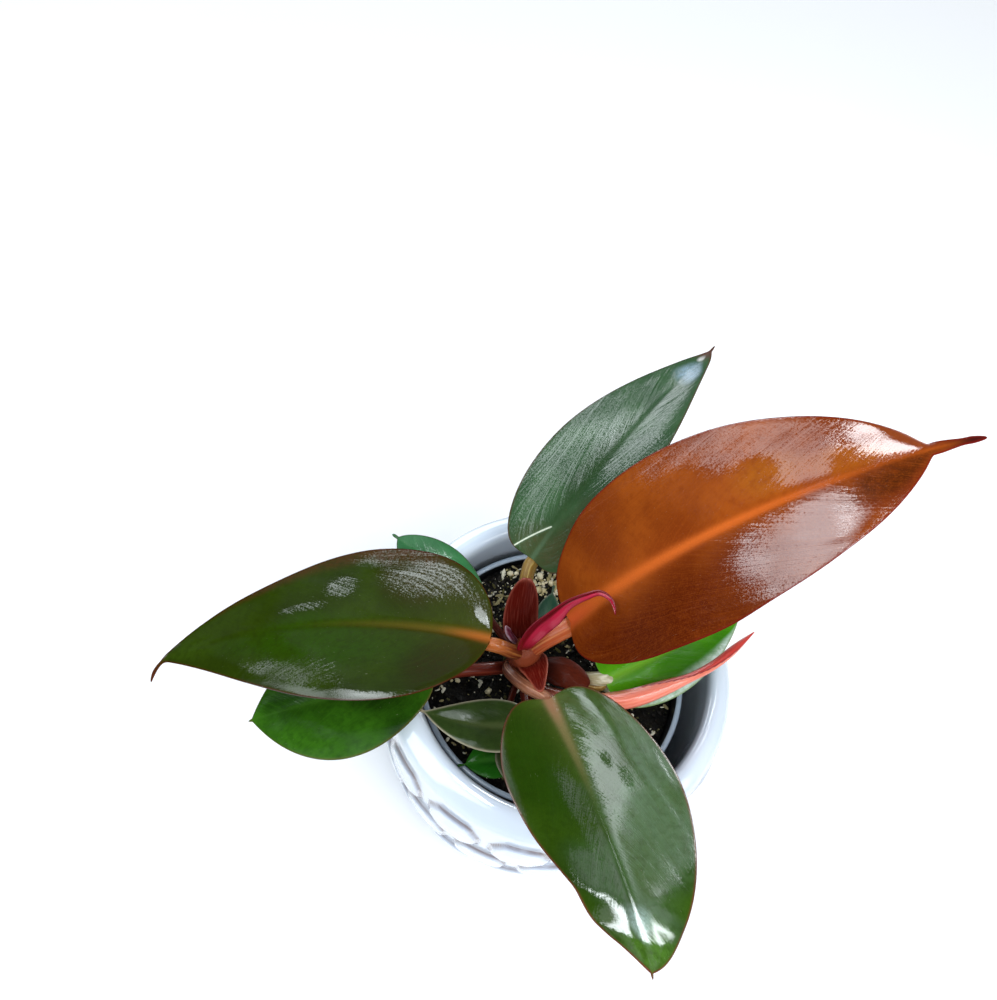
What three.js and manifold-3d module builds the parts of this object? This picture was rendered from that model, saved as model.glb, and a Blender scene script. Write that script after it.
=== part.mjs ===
// Potted foliage plant in a glazed cover pot. Millimetres, +Z up, origin at the
// centre of the pot's base on the surface it stands on.
import * as THREE from "three";
import Module from "manifold-3d";

const wasm = await Module();
wasm.setup();

// Cover pot
const POT_HEIGHT = 108;
const RIM_RADIUS = 65;
const MOUTH_RADIUS = 56;
const BASE_RADIUS = 45;
const BODY_ROUNDNESS = 2.8;
const POT_FLOOR = 6;
const POT_SIDES = 60;
const TILES_PER_ROW = 15;
const TILE_ROWS = 3;
const TILE_TOP = 91;
const TILE_PITCH = 31;
const TILE_WIDTH = 20.9;
const TILE_HEIGHT = 27;
const TILE_RELIEF = 2;
const TILE_PHASE = -115.7;

// Nursery pot inside it, a standard four inch one
const NURSERY_RIM_RADIUS = 50.8;
const NURSERY_TOP = 94.8;
const NURSERY_BASE_RADIUS = 37;
const NURSERY_WALL = 1.2;
const NURSERY_LIP = 2.4;
const NURSERY_LIP_HEIGHT = 9;
const NURSERY_CENTRE = [-1.5, 0.5];
const NURSERY_SIDES = 48;

const SOIL_TOP = 88;
const GAP = 0.3;
const BLADE = 0.9;

// Crown: the short upright stem that every stalk grows from
const STEM_FOOT = new THREE.Vector3(-12, 4, 72);
const STEM_HEAD = new THREE.Vector3(-14.8, -4.4, 126);
const STEM_RADIUS = 6.8;

const rad = THREE.MathUtils.degToRad;
const lerp = THREE.MathUtils.lerp;

// Solids

function solid(points, triangles) {
  const vertProperties = new Float32Array(points.flatMap((p) => [p.x, p.y, p.z]));
  const triVerts = new Uint32Array(triangles.flat());
  return new wasm.Manifold(new wasm.Mesh({ numProp: 3, vertProperties, triVerts }));
}

// Body of revolution about Z from a closed outline of [radius, height] points,
// listed counter-clockwise. Points on the axis become one vertex.
function revolve(outline, sides, centre = [0, 0]) {
  const points = [];
  const rings = outline.map(([r, z]) => {
    const count = r < 1e-6 ? 1 : sides;
    const ring = [];
    for (let k = 0; k < count; k++) {
      const a = (2 * Math.PI * k) / sides;
      ring.push(points.length);
      points.push(new THREE.Vector3(centre[0] + r * Math.cos(a), centre[1] + r * Math.sin(a), z));
    }
    return ring;
  });
  const triangles = [];
  for (let i = 0; i < rings.length; i++) {
    const a = rings[i];
    const b = rings[(i + 1) % rings.length];
    if (a.length === 1 && b.length === 1) continue;
    for (let k = 0; k < sides; k++) {
      const n = (k + 1) % sides;
      if (a.length > 1) triangles.push([a[k], a[n], b[n % b.length]]);
      if (b.length > 1) triangles.push([a[k % a.length], b[n], b[k]]);
    }
  }
  return solid(points, triangles);
}

// Round bar along a list of points, with one radius for each point.
function bar(path, radii, sides) {
  const points = [];
  const last = path.length - 1;
  path.forEach((p, i) => {
    const along = path[Math.min(i + 1, last)].clone().sub(path[Math.max(i - 1, 0)]).normalize();
    const helper = Math.abs(along.z) > 0.9 ? new THREE.Vector3(1, 0, 0) : new THREE.Vector3(0, 0, 1);
    const side = along.clone().cross(helper).normalize();
    const up = side.clone().cross(along);
    for (let k = 0; k < sides; k++) {
      const a = (2 * Math.PI * k) / sides;
      const offset = side.clone().multiplyScalar(Math.cos(a)).addScaledVector(up, Math.sin(a));
      points.push(p.clone().addScaledVector(offset, radii[i]));
    }
  });
  const triangles = [];
  for (let i = 0; i < last; i++) {
    for (let k = 0; k < sides; k++) {
      const n = (k + 1) % sides;
      const a = i * sides;
      const b = a + sides;
      triangles.push([a + k, b + k, b + n], [a + k, b + n, a + n]);
    }
  }
  const ends = [points.length, points.length + 1];
  points.push(path[0].clone(), path[last].clone());
  for (let k = 0; k < sides; k++) {
    const n = (k + 1) % sides;
    triangles.push([ends[0], k, n], [ends[1], last * sides + n, last * sides + k]);
  }
  return solid(points, triangles);
}

// Closed sheet of even thickness. rows[i][j] are points of its middle surface.
// The first and last rows may shrink to a point.
function sheet(rows, thickness) {
  const last = rows.length - 1;
  const width = rows[0].length - 1;
  const at = (i, j) => rows[Math.min(Math.max(i, 0), last)][Math.min(Math.max(j, 0), width)];
  const normal = (i, j) => {
    const row = Math.min(Math.max(i, 1), last - 1);
    const along = at(row + 1, j).clone().sub(at(row - 1, j));
    const across = at(row, j + 1).clone().sub(at(row, j - 1));
    return across.cross(along).normalize();
  };
  const pointed = (i) => rows[i][0].distanceTo(rows[i][width]) < 1e-6;
  const points = [];
  const faces = [1, -1].map((sign) =>
    rows.map((row, i) => {
      const count = pointed(i) ? 1 : width + 1;
      const middle = width / 2;
      const index = [];
      for (let j = 0; j < count; j++) {
        const column = count === 1 ? middle : j;
        index.push(points.length);
        points.push(at(i, column).clone().addScaledVector(normal(i, column), (sign * thickness) / 2));
      }
      return index;
    })
  );
  const triangles = [];
  const quad = (a, b, c, d) => {
    if (a !== b && b !== c && c !== a) triangles.push([a, b, c]);
    if (a !== c && c !== d && d !== a) triangles.push([a, c, d]);
  };
  const pick = (row, j) => row[Math.min(j, row.length - 1)];
  const [top, bottom] = faces;
  for (let i = 0; i < last; i++) {
    for (let j = 0; j < width; j++) {
      const flip = j >= width / 2;
      const cells = [top, bottom].map((f) => [pick(f[i], j), pick(f[i], j + 1), pick(f[i + 1], j + 1), pick(f[i + 1], j)]);
      const [t, u] = cells;
      if (flip) {
        quad(t[0], t[1], t[2], t[3]);
        quad(u[0], u[3], u[2], u[1]);
      } else {
        quad(t[1], t[2], t[3], t[0]);
        quad(u[3], u[2], u[1], u[0]);
      }
    }
    quad(top[i][0], pick(top[i + 1], 0), pick(bottom[i + 1], 0), bottom[i][0]);
    quad(pick(top[i], width), pick(bottom[i], width), pick(bottom[i + 1], width), pick(top[i + 1], width));
  }
  for (let j = 0; j < width; j++) {
    if (top[0].length > 1) quad(top[0][j], bottom[0][j], bottom[0][j + 1], top[0][j + 1]);
    if (top[last].length > 1) quad(top[last][j], top[last][j + 1], bottom[last][j + 1], bottom[last][j]);
  }
  return solid(points, triangles);
}

// Cover pot

function potRadius(z) {
  const fall = 1 - z / POT_HEIGHT;
  return BASE_RADIUS + (RIM_RADIUS - BASE_RADIUS) * Math.pow(1 - Math.pow(fall, BODY_ROUNDNESS), 1 / BODY_ROUNDNESS);
}

// One raised tile: an eight-cornered pad with a softly domed face.
function tile(theta, top, height, halfWidth) {
  const corner = 0.3;
  const outline = [
    [-1, 1 - corner], [-0.62, 1], [0.62, 1], [1, 1 - corner],
    [1, corner], [0.55, 0], [-0.55, 0], [-1, corner],
  ];
  const place = (u, v, rise) => {
    const z = top - height * (1 - v);
    const r = potRadius(z) + rise;
    const a = theta + (u * halfWidth) / RIM_RADIUS;
    return new THREE.Vector3(r * Math.cos(a), r * Math.sin(a), z);
  };
  const shrink = (value, centre, by) => centre + (value - centre) * by;
  const layers = [
    outline.map(([u, v]) => place(u, v, -2.5)),
    outline.map(([u, v]) => place(u, v, TILE_RELIEF * 0.55)),
    outline.map(([u, v]) => place(shrink(u, 0, 0.8), shrink(v, 0.5, 0.84), TILE_RELIEF)),
  ];
  const points = layers.flat();
  points.push(place(0, 0.5, -2.5), place(0, 0.5, TILE_RELIEF + 0.35));
  const n = outline.length;
  const triangles = [];
  for (let k = 0; k < n; k++) {
    const m = (k + 1) % n;
    for (let layer = 0; layer < 2; layer++) {
      const a = layer * n;
      triangles.push([a + k, a + n + m, a + m], [a + k, a + n + k, a + n + m]);
    }
    triangles.push([3 * n, k, m], [3 * n + 1, 2 * n + m, 2 * n + k]);
  }
  return solid(points, triangles);
}

function coverPot() {
  const outer = [];
  for (const z of [0, 1.2, 4, 10, 18, 28, 42, 60, 80, 98]) outer.push([z === 0 ? 41 : potRadius(z), z]);
  const lip = [
    [RIM_RADIUS, 102], [RIM_RADIUS - 0.8, 105.6], [RIM_RADIUS - 2.6, 107.5], [RIM_RADIUS - 4.6, POT_HEIGHT],
    [MOUTH_RADIUS + 1.6, 107.4], [MOUTH_RADIUS + 0.3, 105.4], [MOUTH_RADIUS, 102],
  ];
  const inner = [[MOUTH_RADIUS, 70], [55.6, 44], [54, 30], [50.5, 17], [46, 9.5], [41, POT_FLOOR], [0, POT_FLOOR]];
  let body = revolve([[0, 0], ...outer, ...lip, ...inner], POT_SIDES);
  const pads = [];
  for (let row = 0; row < TILE_ROWS; row++) {
    const top = TILE_TOP - TILE_PITCH * row;
    const lowest = row === TILE_ROWS - 1;
    const height = lowest ? TILE_HEIGHT - 3 : TILE_HEIGHT;
    for (let k = 0; k < TILES_PER_ROW; k++) {
      const turn = k + (row % 2) / 2;
      const theta = rad(TILE_PHASE + (360 / TILES_PER_ROW) * turn);
      pads.push(tile(theta, top, height, TILE_WIDTH / 2));
    }
  }
  return body.add(wasm.Manifold.union(pads));
}

// Nursery pot and soil

function nurseryPot() {
  const [top, base, wall] = [NURSERY_TOP, POT_FLOOR + GAP, NURSERY_WALL];
  const shoulder = top - NURSERY_LIP_HEIGHT;
  const throat = NURSERY_RIM_RADIUS - NURSERY_LIP;
  return revolve(
    [
      [0, base], [NURSERY_BASE_RADIUS, base], [throat - 0.6, shoulder], [NURSERY_RIM_RADIUS - 0.4, shoulder],
      [NURSERY_RIM_RADIUS, top - 1], [NURSERY_RIM_RADIUS - 0.7, top], [throat + 0.6, top], [throat, top - 1],
      [throat - 0.4, shoulder], [throat - 0.6 - wall, shoulder - 2], [NURSERY_BASE_RADIUS - wall, base + wall],
      [0, base + wall],
    ],
    NURSERY_SIDES,
    NURSERY_CENTRE
  );
}

function soil(holes) {
  const floor = POT_FLOOR + GAP + NURSERY_WALL + GAP;
  const shoulder = NURSERY_TOP - NURSERY_LIP_HEIGHT;
  const body = revolve(
    [
      [0, floor], [NURSERY_BASE_RADIUS - NURSERY_WALL - 0.5, floor],
      [NURSERY_RIM_RADIUS - NURSERY_LIP - NURSERY_WALL - 1, shoulder - 2],
      [NURSERY_RIM_RADIUS - NURSERY_LIP - 0.8, shoulder + 0.6],
      [NURSERY_RIM_RADIUS - NURSERY_LIP - 0.9, SOIL_TOP - 0.8], [38, SOIL_TOP + 0.4], [26, SOIL_TOP - 0.3],
      [14, SOIL_TOP + 0.8], [0, SOIL_TOP + 1],
    ],
    NURSERY_SIDES,
    NURSERY_CENTRE
  );
  return body.subtract(holes);
}

// Crown stem, and the slightly larger copy that everything round it is cut with

function stemAt(t) {
  return STEM_FOOT.clone().lerp(STEM_HEAD, t);
}

function stem(extra) {
  const stations = [0, 0.3, 0.6, 0.85, 0.95, 1];
  const girth = [0.8, 0.92, 1, 0.98, 0.82, 0.42];
  const path = stations.map(stemAt);
  path[0].z -= extra;
  path[path.length - 1].z += extra;
  return bar(path, girth.map((g) => g * STEM_RADIUS + extra), 14);
}

// Leaves

// Midrib of a leaf: stations along its length with a point, a direction, a side
// and an up vector at each one.
function midrib(leaf) {
  const steps = 40;
  const direction = (s) => {
    const drop = leaf.bend * Math.pow(s, 1.4);
    const rise = rad(leaf.rise - drop);
    const az = rad(leaf.heading + leaf.veer * s + (leaf.hook || 0) * Math.max(0, (s - 0.9) / 0.1));
    return [rise, az];
  };
  const vector = (rise, az) => new THREE.Vector3(Math.cos(rise) * Math.cos(az), Math.cos(rise) * Math.sin(az), Math.sin(rise));
  const stations = [];
  const point = new THREE.Vector3(...leaf.base);
  for (let i = 0; i <= steps; i++) {
    const s = i / steps;
    const [rise, az] = direction(s);
    const along = vector(rise, az);
    const lift = vector(rise + Math.PI / 2, az);
    const across = along.clone().cross(lift);
    const roll = rad(lerp(leaf.roll[0], leaf.roll[1], s));
    const side = across.clone().multiplyScalar(Math.cos(roll)).addScaledVector(lift, Math.sin(roll));
    const up = lift.clone().multiplyScalar(Math.cos(roll)).addScaledVector(across, -Math.sin(roll));
    stations.push({ point: point.clone(), along, side, up });
    const [nextRise, nextAz] = direction((i + 0.5) / steps);
    point.addScaledVector(vector(nextRise, nextAz), leaf.length / steps);
  }
  return (s) => {
    const x = Math.min(Math.max(s, 0), 1) * steps;
    const i = Math.min(Math.floor(x), steps - 1);
    const blend = (key) => stations[i][key].clone().lerp(stations[i + 1][key], x - i);
    const here = { point: blend("point"), along: blend("along"), side: blend("side"), up: blend("up") };
    if (s < 0) here.point.addScaledVector(here.along, s * leaf.length);
    return here;
  };
}

// Half width of the blade at a fraction p of its length: a full oval with its
// widest part below the middle, running out into a narrow tail.
function halfWidth(leaf, p) {
  const [a, b] = leaf.oval;
  const peak = a / (a + b);
  const scale = Math.pow(peak, a) * Math.pow(1 - peak, b);
  const q = Math.min(p / (1 - leaf.tail / leaf.length), 1);
  const oval = ((leaf.width / 2) * Math.pow(q, a) * Math.pow(1 - q, b)) / scale;
  const tail = leaf.tailWidth * Math.sqrt(Math.min(1, (1 - p) / 0.03)) * Math.pow(p, 4) * 0.5;
  return Math.cbrt(Math.pow(oval, 3) + Math.pow(tail, 3));
}

// Point of the blade at p along it and v across it, v from -1 (left) to 1.
function bladePoint(leaf, rib, p, v) {
  const reach = 0.07;
  const back = (leaf.lobe / leaf.length) * (p / reach) * Math.exp(1 - p / reach) * Math.pow(Math.abs(v), 1.5);
  const here = rib(p - back);
  const fold = rad(lerp(leaf.fold[0], leaf.fold[1], p));
  const arch = rad(leaf.arch) + 1e-6;
  const turned = fold - arch * Math.abs(v);
  const w = halfWidth(leaf, p) * (1 + Math.sign(v) * leaf.lopsided);
  const out = (w * (Math.sin(fold) - Math.sin(turned))) / arch;
  const lift = (w * (Math.cos(turned) - Math.cos(fold))) / arch;
  return here.point.clone().addScaledVector(here.side, Math.sign(v) * out).addScaledVector(here.up, lift);
}

// Centre line of a leaf's stalk, from inside the stem to the blade's base.
function stalkPath(leaf, rib) {
  const foot = stemAt((leaf.foot - STEM_FOOT.z) / (STEM_HEAD.z - STEM_FOOT.z));
  const start = rib(0);
  const end = start.point.clone().addScaledVector(start.up, 0.1 - leaf.stalk * 0.42);
  const bends = leaf.via.map((p) => new THREE.Vector3(...p));
  const knots = [foot, ...bends, end.clone().addScaledVector(start.along, -leaf.stalk * 0.6), end];
  return new THREE.CatmullRomCurve3(knots, false, "centripetal").getPoints(leaf.stalkSteps);
}

function leafSolid(leaf) {
  const rib = midrib(leaf);
  const columns = leaf.columns || 6;
  const rows = leaf.rows.map((p) => {
    const row = [];
    for (let j = 0; j <= columns; j++) row.push(bladePoint(leaf, rib, p, (2 * j) / columns - 1));
    return row;
  });
  const blade = sheet(rows, BLADE);
  const path = stalkPath(leaf, rib);
  const radii = path.map((p, i) => lerp(leaf.stalk * 0.52, leaf.stalk * 0.42, i / (path.length - 1)));
  for (const s of leaf.rows.filter((p) => p > 0.03 && p < 0.56)) {
    const here = rib(s);
    const radius = lerp(leaf.stalk * 0.4, 0.5, s / 0.56);
    path.push(here.point.clone().addScaledVector(here.up, 0.1 - radius));
    radii.push(radius);
  }
  return blade.add(bar(path, radii, leaf.sides || 8));
}

const FULL = [0, 0.012, 0.045, 0.1, 0.18, 0.28, 0.4, 0.52, 0.64, 0.75, 0.84, 0.91, 0.96, 1];
const MEDIUM = [0, 0.02, 0.07, 0.15, 0.28, 0.43, 0.58, 0.73, 0.86, 0.95, 1];
const SHORT = [0, 0.03, 0.1, 0.24, 0.42, 0.6, 0.76, 0.9, 1];
const LARGE = { rows: FULL, columns: 6, sides: 8, stalkSteps: 7 };
const SMALL = {
  oval: [0.5, 0.85], lobe: 2.5, tail: 3, tailWidth: 1.4, arch: 12, lopsided: 0, hook: 0,
  rows: SHORT, columns: 4, sides: 6, stalkSteps: 6, stalk: 3,
};

const LEAVES = {
  leaf_sun: {
    ...LARGE, base: [-1.9, 4.1, 138.7], heading: 19, veer: 4, hook: -4, rise: 69, bend: 63, roll: [-8, -2],
    length: 152.5, width: 61, oval: [0.57, 0.73], lobe: 3.2, tail: 16, tailWidth: 2.6, fold: [20, 13], arch: 6.5,
    lopsided: 0, stalk: 6, foot: 117, via: [[-8.7, -0.4, 129]],
  },
  leaf_left: {
    ...LARGE, base: [-27.9, -6.9, 135.7], heading: 176, veer: 28, hook: 66, rise: -6.6, bend: 30.5, roll: [-13, -1],
    length: 136, width: 62.5, oval: [0.47, 1.14], lobe: 0, tail: 8, tailWidth: 1.6, fold: [22, -5], arch: 14,
    lopsided: -0.02, stalk: 5, foot: 119, via: [[-20.5, -6.7, 129]],
  },
  leaf_front: {
    ...LARGE, base: [-4.6, -21.8, 130.3], heading: -64, veer: -11.5, hook: -9, rise: 33, bend: -1.5, roll: [-3, 20.5],
    length: 110.7, width: 54.5, oval: [0.61, 0.78], lobe: 5.9, tail: 2, tailWidth: 1.2, fold: [15, 16], arch: 9,
    lopsided: 0, stalk: 4.8, foot: 107, via: [[-20.3, -8, 114], [-18.3, -13.5, 119], [-13, -18.4, 125]],
  },
  leaf_back: {
    ...LARGE, base: [-18.2, 29.1, 130.1], heading: 62, veer: -9.5, hook: 14.5, rise: 36, bend: 35, roll: [7.5, 37.5],
    length: 106, width: 44.3, oval: [0.52, 0.88], lobe: 4.1, tail: 3, tailWidth: 1.4, fold: [16, 13], arch: 12.7,
    lopsided: -0.02, stalk: 5, foot: 104, via: [[-17, 10, 111], [-18.5, 21, 121]],
  },
  leaf_low_left: {
    ...SMALL, base: [-45.7, -15.6, 114], heading: 201, veer: 0, rise: -10, bend: 17.5, roll: [0, 1], length: 70.5,
    width: 47, oval: [0.78, 0.89], fold: [12, 7], stalk: 5, foot: 97, via: [[-25.3, -7.5, 109], [-35.9, -12, 113]],
    columns: 6, rows: MEDIUM,
  },
  leaf_back_left: {
    ...SMALL, base: [-36.2, 16.4, 113.9], heading: 152, veer: -2, rise: 7, bend: 18, roll: [0, 0], length: 40.7,
    width: 20.6, oval: [0.55, 0.71], fold: [11, 10], foot: 100, via: [[-25, 8, 108]],
  },
  leaf_low_right: {
    ...SMALL, base: [16.6, -5.3, 112], heading: 35, veer: 2, rise: 11.5, bend: 18, roll: [-1, 0], length: 60.5,
    width: 33, oval: [0.46, 0.9], fold: [12, 10], foot: 103, stalk: 4.4, via: [[2, -5, 108.5]],
  },
  leaf_inner_front: {
    ...SMALL, base: [-9.1, -25.1, 107.9], heading: 202.5, veer: -35, rise: 13, bend: 16, roll: [0, 0], length: 41,
    width: 19.5, oval: [0.46, 0.96], fold: [11, 9], foot: 99, via: [[-11, -15, 105.5]],
  },
  leaf_inner_low: {
    ...SMALL, base: [-12.9, -34.7, 96.8], heading: 202.6, veer: -1, rise: 6, bend: 14, roll: [0, 0], length: 19,
    width: 14.8, fold: [12, 10], foot: 91.5, stalk: 2.6, via: [[-15.5, -18, 94]],
  },
  leaf_inner_dark: {
    ...SMALL, base: [-9, -30.5, 103.5], heading: 273, veer: 0, rise: 10, bend: 16, roll: [0, 0], length: 21,
    width: 19, fold: [12, 10], foot: 95, stalk: 2.6, via: [[-8.8, -16, 100]],
  },
  leaf_inner_back: {
    ...SMALL, base: [-8.1, 12, 108], heading: 88, veer: 0, rise: 30, bend: 10, roll: [0, 0], length: 17, width: 9.5,
    fold: [14, 10], foot: 96, stalk: 2.4, via: [[-9.5, 7, 103]],
  },
};

// Sheaths: tongue-shaped scales round the crown, each a curved plate through the
// listed points, from its root inside the stem to its tip. A positive hollow lifts
// the edges, a negative one lowers them.
function sheathSolid({ points, width, neck, hollow, lean, blunt, thick = 1 }) {
  const curve = new THREE.CatmullRomCurve3(points.map((p) => new THREE.Vector3(...p)), false, "centripetal");
  const face = new THREE.Vector3(...lean).normalize();
  const bow = rad(Math.abs(hollow));
  const rows = [0, 0.18, 0.38, 0.58, 0.76, 0.89, 0.97].map((t) => {
    const here = curve.getPoint(t);
    const along = curve.getTangent(t);
    const side = along.clone().cross(face).normalize();
    const up = side.clone().cross(along);
    const waist = lerp(neck, 1, Math.min(1, t / 0.35));
    const half = (width / 2) * waist * Math.pow(1 - Math.pow(t, blunt), 0.5);
    const radius = half / Math.sin(bow);
    const row = [];
    for (let j = 0; j <= 4; j++) {
      const angle = bow * (j / 2 - 1);
      const point = here.clone().addScaledVector(side, radius * Math.sin(angle));
      row.push(point.addScaledVector(up, Math.sign(hollow) * radius * (1 - Math.cos(angle))));
    }
    return row;
  });
  const tip = curve.getPoint(1);
  rows.push(rows[0].map(() => tip.clone()));
  return sheet(rows, thick);
}

const SHEATHS = {
  sheath_upright: {
    points: [[-15.8, 0, 120], [-18.5, 4.8, 130], [-19.5, 14, 146]], width: 12.4, neck: 0.55, hollow: 35, lean: [0, -0.5, 0.8], blunt: 3.4,
  },
  sheath_crimson: {
    points: [[-13.8, -4.4, 123], [-13.9, -4.2, 131], [-10.4, 0.4, 142], [-1.5, 4, 155], [4, 6, 165], [7.2, 2.2, 168.5]],
    width: 9, neck: 0.32, hollow: 50, lean: [0.3, -0.6, 0.6], blunt: 1.5,
  },
  sheath_front: {
    points: [[-12.2, -7.4, 118], [-10.8, -11.4, 128.5], [-7.9, -21, 137]], width: 8.8, neck: 1, hollow: 30, lean: [0, -0.5, 0.8], blunt: 3,
  },
  sheath_broad: {
    points: [[-10, -3, 112], [-1, -5, 118], [9, -11.8, 117.5]], width: 12.5, neck: 0.55, hollow: -30, lean: [0.2, -0.2, 0.9], blunt: 5,
  },
  sheath_curl: {
    points: [[-17.2, -1.2, 122], [-21.3, -1.4, 131], [-23.6, -2.4, 139.5]], width: 3.2, neck: 0.6, hollow: 50, lean: [-0.6, 0, 0.8], blunt: 2,
  },
};

// Furled new leaf: a slender spindle lying along the low right leaf.
function furledLeaf() {
  const bends = [[-4, -10.2, 104], [6, -12.5, 108.5], [21.6, -13.2, 117.5], [37.7, -6, 122], [50.8, 1.8, 128.5], [61.6, 12.2, 142]];
  const curve = new THREE.CatmullRomCurve3([stemAt(0.53), ...bends.map((p) => new THREE.Vector3(...p))]);
  const path = curve.getPoints(14);
  const girth = (t) => 0.35 + 2.7 * Math.sqrt(Math.min(1, 0.5 + t) * Math.min(1, (1 - t) / 0.45));
  return bar(path, path.map((p, i) => girth(i / 14)), 9);
}

// Assembly

const materials = {
  glaze: new THREE.MeshStandardMaterial({ color: 0xf1f4f8, roughness: 0.15 }),
  plastic: new THREE.MeshStandardMaterial({ color: 0x16171a, roughness: 0.5 }),
  soil: new THREE.MeshStandardMaterial({ color: 0x1d1712, roughness: 1 }),
  stem: new THREE.MeshStandardMaterial({ color: 0x6b3a22, roughness: 0.6 }),
  green: new THREE.MeshStandardMaterial({ color: 0x3f5e1c, roughness: 0.35 }),
  copper: new THREE.MeshStandardMaterial({ color: 0x9a4a1c, roughness: 0.35 }),
  crimson: new THREE.MeshStandardMaterial({ color: 0x8c1f2a, roughness: 0.4 }),
  salmon: new THREE.MeshStandardMaterial({ color: 0xdc6a55, roughness: 0.4 }),
};

const plant = new THREE.Group();
plant.name = "potted_philodendron";

// Edges and slivers finer than this, in millimetres, are cleaned out of every solid.
const FINEST = 0.04;

function addPart(name, body, material) {
  const mesh = body.simplify(FINEST).getMesh();
  const geometry = new THREE.BufferGeometry();
  geometry.setAttribute("position", new THREE.BufferAttribute(new Float32Array(mesh.vertProperties), 3));
  geometry.setIndex(new THREE.BufferAttribute(new Uint32Array(mesh.triVerts), 1));
  geometry.computeVertexNormals();
  const part = new THREE.Mesh(geometry, material);
  part.name = name;
  plant.add(part);
}

const clearOfStem = stem(GAP);

addPart("cachepot", coverPot(), materials.glaze);
addPart("nursery_pot", nurseryPot(), materials.plastic);
addPart("soil", soil(clearOfStem), materials.soil);
addPart("stem", stem(0), materials.stem);
for (const [name, leaf] of Object.entries(LEAVES)) {
  addPart(name, leafSolid(leaf).subtract(clearOfStem), name === "leaf_sun" ? materials.copper : materials.green);
}
for (const [name, shape] of Object.entries(SHEATHS)) {
  addPart(name, sheathSolid(shape).subtract(clearOfStem), materials.crimson);
}
addPart("furled_leaf", furledLeaf().subtract(clearOfStem), materials.salmon);

export default plant;
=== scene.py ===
import math

import bmesh
import bpy
import numpy as np
from mathutils import Matrix, Vector

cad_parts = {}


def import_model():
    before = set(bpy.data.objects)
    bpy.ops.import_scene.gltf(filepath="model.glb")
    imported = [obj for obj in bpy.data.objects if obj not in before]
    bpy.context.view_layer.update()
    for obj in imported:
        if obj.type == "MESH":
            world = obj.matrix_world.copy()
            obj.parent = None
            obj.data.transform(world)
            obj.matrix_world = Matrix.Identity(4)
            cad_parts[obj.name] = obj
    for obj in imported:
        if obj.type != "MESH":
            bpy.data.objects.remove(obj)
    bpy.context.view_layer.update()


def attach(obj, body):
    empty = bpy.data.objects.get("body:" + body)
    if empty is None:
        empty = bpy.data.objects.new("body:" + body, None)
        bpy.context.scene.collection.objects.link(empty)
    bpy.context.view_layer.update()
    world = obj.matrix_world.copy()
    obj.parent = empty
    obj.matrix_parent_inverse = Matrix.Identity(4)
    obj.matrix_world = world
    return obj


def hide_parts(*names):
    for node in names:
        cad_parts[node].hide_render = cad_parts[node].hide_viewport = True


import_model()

# Lengths are written in millimetres, as in the part's source, and made metres where a mesh is built.
MM = 0.001
SEED = 7
TURN = 2 * math.pi

# Cover pot
POT_HEIGHT = 108
RIM_RADIUS = 65
MOUTH_RADIUS = 56
MOUTH_SHIFT = 1.2
BASE_RADIUS = 45
FOOT_RADIUS = 41
BODY_ROUNDNESS = 2.8
POT_FLOOR = 6
TILES_PER_ROW = 15
TILE_ROWS = 3
TILE_TOP = 91
TILE_PITCH = 31
TILE_WIDTH = 20.9
TILE_HEIGHT = 27
TILE_RELIEF, TILE_DOME, TILE_LEAN = 1.75, 0.4, 0.1
TILE_PHASE = -115.7
TILE_CORNER = 3.0
GLAZE_RIPPLE = 0.12
POT_SIDES, POT_ROWS = 540, 128
TILE_OUTLINE = [(-1, 0.7), (-0.62, 1), (0.62, 1), (1, 0.7), (1, 0.3), (0.55, 0), (-0.55, 0), (-1, 0.3)]

# Nursery pot and soil
NURSERY_RIM_RADIUS = 50.8
NURSERY_TOP = 94.8
NURSERY_BASE_RADIUS = 37
NURSERY_WALL = 1.2
NURSERY_LIP = 2.4
NURSERY_LIP_HEIGHT = 9
NURSERY_CENTRE = (-1.5, 0.5)
GAP = 0.3
SOIL_TOP, SOIL_HEAP = 88, 4.4
SOIL_RADIUS = NURSERY_RIM_RADIUS - NURSERY_LIP - 0.9
CRUMBS, PERLITE_GRAINS, FLAKES = 620, 210, 5200

# Crown and leaves
STEM_FOOT = np.array([-12.0, 4.0, 72.0])
STEM_HEAD = np.array([-14.8, -4.4, 126.0])
STEM_RADIUS = 6.8
STALK_SIDES = 24
BLADE = 0.6
SHEATH_BLADE = 0.8
CREASE = 1.3
KEEL_FROM, KEEL_TO = 0.03, 0.66
SHEATH_ROWS, SHEATH_COLUMNS = 64, 28
PAPER = 0.25


# Numbers and noise

def unit(v):
    return v / np.maximum(np.linalg.norm(v, axis=-1, keepdims=True), 1e-12)


def xyz(*parts):
    """Vectors from their three parts, of which some may be single numbers."""
    return np.stack(np.broadcast_arrays(*parts), -1)


def step(low, high, x):
    t = np.clip((x - low) / (high - low), 0, 1)
    return t * t * (3 - 2 * t)


def bell(x):
    return np.exp(-x ** 2)


def lattice(cell, seed):
    """A repeatable number from 0 to 1 for each whole-number cell. The integers wrap round on purpose."""
    with np.errstate(over="ignore"):
        x = cell[..., 0] * 374761393 + cell[..., 1] * 668265263 + cell[..., 2] * 2147483647 + seed * 1274126177
        x = (x ^ (x >> 13)) * 1103515245 & 0x7FFFFFFF
        x = (x ^ (x >> 16)) * 1664525 & 0x7FFFFFFF
    return (x & 0xFFFFF) / 0xFFFFF


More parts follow.
